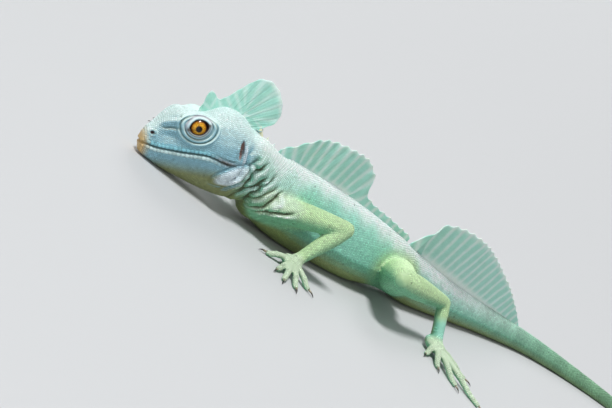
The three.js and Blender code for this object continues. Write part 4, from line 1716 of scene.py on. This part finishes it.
@dataclass(frozen=True)
class Fin:
    """A crest: a thin sheet between a root line and an edge line, ribbed by rays."""

    name: str
    nodes: tuple
    root: Callable[[np.ndarray], np.ndarray]
    edge: Callable[[np.ndarray], np.ndarray]
    rays: int
    columns: int
    rows: int
    web_thickness: float = 0.45 * MM
    ray_thickness: float = 1.15 * MM
    root_thickness: float = 1.7 * MM
    notch: float = 0.9 * MM
    ripple: float = 0.35 * MM
    fine_rays: int = 3
    ray_strength: float = 0.9

    def build(self, finish: HideFinish, palette: Palette) -> bpy.types.Object:
        """Model the sheet, thicken it along its rays and dress it.

        Args:
            finish: The membrane's finish.
            palette: The animal's colours.

        Returns:
            The crest's object.
        """
        piece, u, v = grid_piece(self.name, self.columns, self.rows)
        ray = self.ray_share(u)
        places = self.root(u) * (1 - v)[:, None] + self.edge(u) * v[:, None]
        lift = self.edge(u) - self.root(u)
        lift /= np.linalg.norm(lift, axis=1)[:, None] + 1e-9
        places -= lift * (self.notch * (1 - ray) * v**3)[:, None]
        along = self.root(np.minimum(u + 0.01, 1.0)) - self.root(np.maximum(u - 0.01, 0.0))
        sideways = np.cross(along, lift)
        sideways /= np.linalg.norm(sideways, axis=1)[:, None] + 1e-9
        ripple = self.ripple * np.sin(2 * np.pi * self.rays * u + 0.8) * v * (1 - 0.3 * v)
        ripple += 0.25 * MM * np.sin(31.0 * u + 5.0 * v) * v
        places += sideways * ripple[:, None]
        set_places(piece.data, places)
        web = self.web_thickness / self.root_thickness
        fine = 0.5 + 0.5 * np.cos(2 * np.pi * self.fine_rays * (self.rays * u - 0.5))
        bold = np.maximum(ray**3, 0.45 * fine)
        thick = web + (self.ray_thickness / self.root_thickness - web) * bold * (1 - 0.55 * v)
        thick = np.maximum(thick, smooth_between(0.16, 0.0, v))
        thick = np.where(v > 0.985, 0.16, thick)
        group = piece.vertex_groups.new(name="thickness")
        for index, share in enumerate(thick):
            group.add([index], float(share), "REPLACE")
        apply_modifier(
            piece, "SOLIDIFY", thickness=self.root_thickness, offset=0.0,
            vertex_group="thickness", use_even_offset=False,
        )
        self.colour(piece, palette)
        give_finish(piece, finish.material())
        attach(piece, "root")
        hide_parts(*self.nodes)
        return piece

    def ray_share(self, u: np.ndarray) -> np.ndarray:
        """How near a place along the crest is to a ray, from 0 midway to 1 on it."""
        return 0.5 + 0.5 * np.cos(2 * np.pi * (self.rays * u - 0.5))

    def colour(self, piece: bpy.types.Object, palette: Palette) -> None:
        """Paint the crest: pale rays, cooler web and a light edge.

        Args:
            piece: The crest's object.
            palette: The animal's colours.
        """
        places = vertex_places(piece.data)
        samples = np.linspace(0.0, 1.0, 400)
        roots, edges = self.root(samples), self.edge(samples)
        middle = (roots + edges) / 2
        nearest = np.argmin(((places[:, None, :] - middle[None]) ** 2).sum(axis=2), axis=1)
        u = samples[nearest]
        height = np.linalg.norm(places - roots[nearest], axis=1)
        height /= np.linalg.norm(edges - roots, axis=1)[nearest] + 1e-9
        base = np.tile(np.array(palette.crest_web), (len(places), 1))
        base = palette.over(base, palette.crest_ray, self.ray_strength * self.ray_share(u) ** 2)
        base = palette.over(base, palette.back_band, smooth_between(0.84, 1.0, height) * 0.8)
        base = palette.over(base, palette.back_band, smooth_between(0.25, 0.08, height))
        paint(piece, base)


def spline_points(stops: Sequence[tuple]) -> Callable[[np.ndarray], np.ndarray]:
    """A smooth line through points, by the share of its length.

    Args:
        stops: Points of two or three numbers each.

    Returns:
        A function from shares of the length to rows of points.
    """
    knots = np.array(stops, float)
    steps = np.linspace(0.0, len(knots) - 1.0, 60 * len(knots))
    low = np.clip(steps.astype(int), 0, len(knots) - 2)
    t = (steps - low)[:, None]
    before = knots[np.maximum(low - 1, 0)]
    start, end = knots[low], knots[low + 1]
    after = knots[np.minimum(low + 2, len(knots) - 1)]
    line = 0.5 * (
        2 * start + (end - before) * t + (2 * before - 5 * start + 4 * end - after) * t**2
        + (3 * start - before - 3 * end + after) * t**3
    )
    lengths = np.concatenate([[0.0], np.cumsum(np.linalg.norm(np.diff(line, axis=0), axis=1))])
    lengths /= lengths[-1]
    return lambda share: np.stack([np.interp(share, lengths, part) for part in line.T], axis=1)


@dataclass
class Spine:
    """The line of the back, read off the model's torso, neck and tail."""

    names: Sequence[str] = ("torso", "tail_1", "tail_2", "tail_3", "tail_4")
    step: float = 3.0 * MM

    def __post_init__(self) -> None:
        """Measure the body's middle line and the height of its back."""
        corners, faces = [], []
        for name in (*self.names, "neck"):
            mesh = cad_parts[name].data
            first = len(corners)
            corners.extend(tuple(v.co) for v in mesh.vertices)
            faces.extend(tuple(first + i for i in p.vertices) for p in mesh.polygons)
        self.tree = BVHTree.FromPolygons(corners, faces)
        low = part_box("torso")[0].x + 2 * MM
        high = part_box(self.names[-1])[1].x - 3 * MM
        self.xs = np.arange(low, high, self.step)
        self.middle = np.array([self.middle_at(x) for x in self.xs])
        self.top = np.array([self.top_at(x, y) for x, y in zip(self.xs, self.middle)])
        steps = np.hypot(np.diff(self.xs), np.diff(self.middle))
        self.run = np.concatenate([[0.0], np.cumsum(steps)])

    def middle_at(self, x: float) -> float:
        """Middle of the body at a place along its length.

        Args:
            x: The place along X.

        Returns:
            Y of the middle line.
        """
        height = 2.0 * MM
        left = self.tree.ray_cast(Vector((x, -0.3, height)), Vector((0, 1, 0)))[0]
        right = self.tree.ray_cast(Vector((x, 0.3, height)), Vector((0, -1, 0)))[0]
        return (left.y + right.y) / 2 if left and right else 0.0

    def top_at(self, x: float, y: float) -> float:
        """Height of the back over a point of the floor."""
        hit = self.tree.ray_cast(Vector((x, y, 0.3)), Vector((0, 0, -1)))[0]
        return hit.z if hit else 5.0 * MM

    def back(self, run: np.ndarray) -> np.ndarray:
        """Points of the back by the distance run from the shoulders.

        Args:
            run: Distances in metres; below 0 they lie on the neck.

        Returns:
            Rows of x, y, z.
        """
        ahead = np.minimum(run, 0.0)
        nape = head_point(HEAD_LENGTH, 0.0, 12.0)
        share = -ahead / (self.xs[0] - nape.x)
        x = np.interp(run, self.run, self.xs) + ahead
        y = np.interp(run, self.run, self.middle)
        y += (nape.y - self.middle[0]) * share**2
        z = np.interp(run, self.run, self.top)
        near = (-0.8 * MM, 0.0, 0.8 * MM)
        tops = [
            max(self.top_at(px + shift, py) for shift in near) if extra < 0 else pz
            for px, py, extra, pz in zip(x, y, ahead, z)
        ]
        return np.stack([x, y, np.array(tops)], axis=1)


def crest_fins(spine: Spine) -> list:
    """The three crests of a grown male.

    Args:
        spine: The line of the back.

    Returns:
        The fins, from the head to the tail.
    """
    head_edge = spline_points([
        (26.5, 20.5), (28.4, 26.5), (30.4, 31.8), (31.8, 33.2), (33.4, 31.8), (37.5, 29.4), (45.0, 34.6),
        (53.0, 40.6), (57.5, 41.9), (62.5, 40.6), (66.6, 36.6), (69.0, 31.5), (70.0, 26.0), (68.0, 20.5),
        (62.5, 17.5), (57.0, 14.5),
    ])
    head_root = spline_points([
        (27.5, 19.5), (34.0, 22.0), (40.0, 23.6), (46.0, 22.4), (51.0, 19.0), (55.4, 15.0),
    ])
    dorsal_start, dorsal_length = -13.0, 121.0
    tail_start, tail_length = 112.0, 175.0
    sink = np.array([0, 0, 1.8 * MM])

    def in_head(line: Callable[[np.ndarray], np.ndarray], lean: float) -> Callable[[np.ndarray], np.ndarray]:
        """Turn a line of the head's middle plane into points of the model.

        Args:
            line: The line, by the share of its length.
            lean: How far it bulges to the animal's right, in millimetres.

        Returns:
            A function from shares of the length to rows of points.
        """
        def points(share: np.ndarray) -> np.ndarray:
            """Points of the line.

            Args:
                share: Shares of its length.

            Returns:
                Rows of x, y, z in metres.
            """
            flat = line(share)
            return np.array([
                head_point(a, lean * math.sin(math.pi * s), u) for s, (a, u) in zip(share, flat)
            ])
        return points

    heights = spline_points([
        (-13, 2), (-6, 12), (1, 17.5), (13, 21), (25, 22.5), (36, 22), (44, 19), (50, 15.5), (55, 7.5),
        (64, 4.5), (85, 4), (108, 3.4),
    ])
    tail_heights = spline_points([
        (0, 2), (8, 15), (16, 23.5), (36, 29), (60, 30), (90, 26), (125, 18), (155, 9), (175, 1.5),
    ])

    def height_at(line: Callable[[np.ndarray], np.ndarray], run: np.ndarray) -> np.ndarray:
        """Height of a crest by the distance run, both in millimetres."""
        table = line(np.linspace(0.0, 1.0, 400))
        return np.interp(run, table[:, 0], table[:, 1])

    def dorsal_run(share: np.ndarray) -> np.ndarray:
        """Distance from the shoulders, in millimetres, along the dorsal crest."""
        return dorsal_start + dorsal_length * share**1.15

    def dorsal_root(share: np.ndarray) -> np.ndarray:
        """Root line of the dorsal crest, sunk in the back."""
        return spine.back(dorsal_run(share) * MM) - sink

    def dorsal_edge(share: np.ndarray) -> np.ndarray:
        """Free edge of the dorsal crest, leaning back.

        Args:
            share: Shares of its length.

        Returns:
            Rows of points.
        """
        run = dorsal_run(share)
        height = height_at(heights, run) * MM
        wave = 0.9 * MM * np.sin(run * 0.19) * height / (22.5 * MM)
        return spine.back(run * MM) + np.stack([0.24 * height, wave, height], axis=1)

    def tail_run(share: np.ndarray) -> np.ndarray:
        """Distance from the shoulders, in millimetres, along the tail crest."""
        return tail_start + tail_length * share

    def tail_root(share: np.ndarray) -> np.ndarray:
        """Root line of the tail crest, sunk in the tail."""
        return spine.back(tail_run(share) * MM) - sink

    def tail_edge(share: np.ndarray) -> np.ndarray:
        """Free edge of the tail crest, leaning back.

        Args:
            share: Shares of its length.

        Returns:
            Rows of points.
        """
        height = height_at(tail_heights, tail_length * share) * MM
        wave = 0.8 * MM * np.sin(share * 15.0)
        return spine.back(tail_run(share) * MM) + np.stack([0.2 * height, wave, height], axis=1)

    return [
        Fin(
            "head_crest_fin", ("head_crest",), in_head(head_root, 0.0), in_head(head_edge, 1.4),
            13, 240, 44, notch=0.4 * MM, ripple=0.2 * MM, ray_strength=0.5,
        ),
        Fin("dorsal_crest_fin", ("dorsal_crest",), dorsal_root, dorsal_edge, 19, 360, 30),
        Fin("tail_crest_fin", ("tail_crest",), tail_root, tail_edge, 20, 380, 34),
    ]


@dataclass(frozen=True)
class NapeSpines:
    """The pale spines that stand behind the head's crest."""

    plan: tuple = ((60.6, 8.0, 10.2, 2.5, -0.02), (64.6, 6.4, 6.6, 1.8, 0.12), (68.2, 4.6, 5.6, 1.5, 0.25))
    turns: int = 28
    steps: int = 18

    def build(self, finish: HideFinish, palette: Palette) -> bpy.types.Object:
        """Model the spines as one piece.

        Args:
            finish: The membrane's finish.
            palette: The animal's colours.

        Returns:
            The spines' object.
        """
        piece = join_pieces([self.spine(*row) for row in self.plan], "nape_spines")
        places = vertex_places(piece.data)
        up = head_places(places)[:, 2]
        base = np.tile(np.array(palette.back_band), (len(places), 1))
        paint(piece, palette.over(base, palette.spine, smooth_between(10.0, 14.0, up)))
        give_finish(piece, finish.material())
        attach(piece, "root")
        return piece

    def spine(self, along: float, low: float, height: float, radius: float, lean: float) -> bpy.types.Object:
        """One spine: a ribbed cone that bends back.

        Args:
            along: Its place behind the snout, in millimetres.
            low: Height of its root, sunk in the nape.
            height: Its length.
            radius: Its radius at the root.
            lean: How far its tip bends back, as a share of its length.

        Returns:
            The spine's object.
        """
        piece, turn, share = grid_piece("nape_spine", self.turns, self.steps)
        angle = turn * 2 * np.pi
        width = radius * (1.0 - share) ** 0.8 * (1 + 0.07 * np.cos(7 * angle)) + 0.02
        local = np.stack([
            along + 1.25 * width * np.cos(angle) + lean * height * share**2,
            0.8 * width * np.sin(angle),
            low + height * share,
        ], axis=1)
        set_places(piece.data, np.array([head_point(*row) for row in local]))
        apply_modifier(piece, "WELD", merge_threshold=SEAM_WELD)
        return piece


@dataclass(frozen=True)
class Eye:
    """One eye: a ball with a slight corneal bulge, looking sideways."""

    side: Side
    gaze_forward: float = 0.16
    gaze_up: float = 0.06

    def build(self, finish: EyeFinish) -> bpy.types.Object:
        """Model the eye in its socket.

        Args:
            finish: The eye's finish.

        Returns:
            The eye's object.
        """
        along, across, up = EYE_PLACE
        centre = head_point(along, self.side.value * across, up)
        deselect_all()
        bpy.ops.mesh.primitive_uv_sphere_add(segments=64, ring_count=48, radius=EYE_RADIUS * MM)
        piece = bpy.context.object
        piece.name = f"eye_{self.side.word}_ball"
        outward = Vector((-self.gaze_forward, self.side.value, self.gaze_up)).normalized()
        axis = np.array(HEAD_TURN.to_3x3() @ outward)
        turn = Vector((0, 0, 1)).rotation_difference(Vector(axis)).to_matrix()
        places = vertex_places(piece.data)
        angle = np.arccos(np.clip(places[:, 2] / (EYE_RADIUS * MM), -1, 1))
        spin = np.arctan2(places[:, 1], places[:, 0])
        places *= (1 + 0.05 * bump(angle, 0.45))[:, None]
        fibre = 0.5 + 0.25 * np.sin(spin * 46 + 3 * np.sin(spin * 7)) + 0.25 * np.sin(spin * 71 + angle * 30)
        self.store(piece, "gaze", angle)
        self.store(piece, "fibre", fibre)
        set_places(piece.data, places @ np.array(turn).T + np.array(centre))
        give_finish(piece, finish.material())
        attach(piece, "root")
        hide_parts(f"eye_{self.side.word}")
        return piece

    @staticmethod
    def store(piece: bpy.types.Object, name: str, values: np.ndarray) -> None:
        """Store one number for each vertex.

        Args:
            piece: The object.
            name: The attribute's name.
            values: The numbers.
        """
        layer = piece.data.attributes.new(name, "FLOAT", "POINT")
        layer.data.foreach_set("value", values.astype(np.float32))


@dataclass(frozen=True)
class Claws:
    """The five claws of one hand or foot, smoothed from the model's own."""

    digit: str
    side: Side

    def build(self, finish: HornFinish) -> bpy.types.Object:
        """Model the claws as one piece.

        Args:
            finish: The horn's finish.

        Returns:
            The claws' object.
        """
        nodes = [f"{self.digit}_claw_{self.side.word}_{index}" for index in range(1, 6)]
        copies = [merged_copy(name) for name in nodes]
        for copy in copies:
            apply_modifier(copy, "SUBSURF", levels=2, render_levels=2)
            self.shade(copy)
        piece = join_pieces(copies, f"{self.digit}_claws_{self.side.word}")
        give_finish(piece, finish.material())
        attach(piece, "root")
        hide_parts(*nodes)
        return piece

    @staticmethod
    def shade(copy: bpy.types.Object) -> None:
        """Paint one claw pale at its root and dark to its tip.

        Args:
            copy: The claw's object.
        """
        places = vertex_places(copy.data)
        thick_end = places[np.argmax(places[:, 2])]
        reach = np.linalg.norm(places - thick_end, axis=1)
        share = smooth_between(0.1, 0.55, reach / (reach.max() + 1e-9))
        pale, dark = np.array((0.34, 0.3, 0.2)), np.array((0.018, 0.014, 0.012))
        paint(copy, pale + (dark - pale) * share[:, None])


@dataclass(frozen=True)
class Studio:
    """Camera at the photo's angle, a plain pale floor and soft light."""

    position: tuple = (-0.65598, -0.58629, 0.20798)
    azimuth: float = -47.3
    elevation: float = 12.01
    roll: float = 42.63
    lens: float = 100.0
    surround: tuple = (0.86, 0.88, 0.9, 1.0)
    surround_strength: float = 0.32
    floor_radius: float = 1.5
    floor_rises: tuple = (0.01, 0.06, 0.3, 1.0)

    def camera(self) -> None:
        """Make the camera, tilted about its own line of sight."""
        turn, lift, tilt = (math.radians(v) for v in (self.azimuth, self.elevation, self.roll))
        back = Vector((math.sin(turn) * math.cos(lift), -math.cos(turn) * math.cos(lift), math.sin(lift)))
        level = Vector((0, 0, 1)).cross(back).normalized()
        rise = back.cross(level)
        right = level * math.cos(tilt) + rise * math.sin(tilt)
        top = rise * math.cos(tilt) - level * math.sin(tilt)
        data = bpy.data.cameras.new("photo_camera")
        data.lens = self.lens
        data.sensor_width = 36.0
        data.clip_end = 100.0
        eye = bpy.data.objects.new("photo_camera", data)
        bpy.context.scene.collection.objects.link(eye)
        aim = Matrix((right, top, back)).transposed().to_4x4()
        eye.matrix_world = Matrix.Translation(Vector(self.position)) @ aim
        bpy.context.scene.camera = eye

    def light(self) -> None:
        """Add a soft key from above, a light from behind, a fill and a pale surround."""
        self.sun("key", (-0.4, 0.0, 0.9), 2.8, 16.0)
        self.sun("rim", (0.6, 0.75, 0.7), 0.6, 30.0)
        self.area("fill", (-0.9, -0.9, 0.5), (0.0, 0.0, 0.02), 0.9, 2.0)
        world = bpy.data.worlds.new("surround")
        world.use_nodes = True
        background = world.node_tree.nodes["Background"]
        background.inputs["Color"].default_value = self.surround
        background.inputs["Strength"].default_value = self.surround_strength
        bpy.context.scene.world = world
        bpy.context.scene.view_settings.view_transform = "Standard"

    @staticmethod
    def sun(name: str, place: tuple, power: float, spread: float) -> None:
        """Add an even light from one direction.

        Args:
            name: The light's name.
            place: The direction that it comes from.
            power: Its strength.
            spread: Its angular width in degrees.
        """
        data = bpy.data.lights.new(name, "SUN")
        data.energy = power
        data.angle = math.radians(spread)
        lamp = bpy.data.objects.new(name, data)
        bpy.context.scene.collection.objects.link(lamp)
        lamp.rotation_euler = (-Vector(place)).to_track_quat("-Z", "Y").to_euler()

    @staticmethod
    def area(name: str, place: tuple, target: tuple, size: float, power: float) -> None:
        """Add one area light aimed at a point.

        Args:
            name: The light's name.
            place: Where it hangs.
            target: What it looks at.
            size: Its width in metres.
            power: Its power in watts.
        """
        data = bpy.data.lights.new(name, "AREA")
        data.size = size
        data.energy = power
        lamp = bpy.data.objects.new(name, data)
        bpy.context.scene.collection.objects.link(lamp)
        lamp.location = place
        lamp.rotation_euler = (Vector(target) - Vector(place)).to_track_quat("-Z", "Y").to_euler()

    def floor(self) -> None:
        """Lay the pale floor, level around the model and turned up a little far away."""
        deselect_all()
        bpy.ops.mesh.primitive_circle_add(
            vertices=96, radius=self.floor_radius, fill_type="NGON", location=(0.0, 0.0, -0.2 * MM)
        )
        ground = bpy.context.object
        ground.name = "floor"
        bpy.ops.object.mode_set(mode="EDIT")
        bpy.ops.mesh.select_mode(type="EDGE")
        bpy.ops.mesh.select_all(action="SELECT")
        for rise in self.floor_rises:
            bpy.ops.mesh.extrude_edges_move(TRANSFORM_OT_translate={"value": (0.0, 0.0, rise)})
            bpy.ops.transform.resize(value=(2.0, 2.0, 1.0))
        bpy.ops.object.mode_set(mode="OBJECT")
        bpy.ops.object.shade_smooth()
        graph = Graph("pale_floor")
        graph.set(Base_Color=(0.56, 0.57, 0.58, 1.0), Roughness=0.7)
        ground.data.materials.append(graph.material)


def flesh_nodes() -> list:
    """Names of the model's nodes of flesh, which one skin replaces.

    Returns:
        The names.
    """
    limbs = ("upper_arm", "forearm", "hand", "thigh", "shank", "foot")
    names = ["head", "neck", "torso", "tail_1", "tail_2", "tail_3", "tail_4"]
    return names + [f"{limb}_{side.word}" for limb in limbs for side in Side]


def main() -> None:
    """Build every piece in order and report it."""
    logging.basicConfig(level=logging.INFO, format="%(message)s")
    np.random.seed(SEED)
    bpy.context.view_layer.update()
    studio = Studio()
    studio.camera()
    studio.light()
    studio.floor()
    palette = Palette()
    body = Build()
    skin = Skin(flesh_nodes(), body)
    skin.build()
    hide = HideFinish("hide", 0.5, 0.00025, 900.0)
    skin.dress(hide, palette)
    report(skin.piece)
    surface = Surface(skin.piece)
    for side in Side:
        report(Orbit(side).build(surface, hide, palette, body))
    coat = Coat(surface, palette, body)
    scale_finish = HideFinish("scales", 0.42, 0.00008, 1600.0).material()
    for name, slot, tracts in scale_tracts(body):
        coat.piece(name, tracts, slot, scale_finish)
    membrane = HideFinish("membrane", 0.48, 0.00012, 1200.0, 0.35)
    for fin in crest_fins(body.spine):
        report(fin.build(membrane, palette))
    report(NapeSpines().build(membrane, palette))
    for side in Side:
        report(Eye(side).build(EyeFinish("wet_eye")))
        for digit in ("finger", "toe"):
            report(Claws(digit, side).build(HornFinish("horn")))


if __name__ == "__main__":
    main()
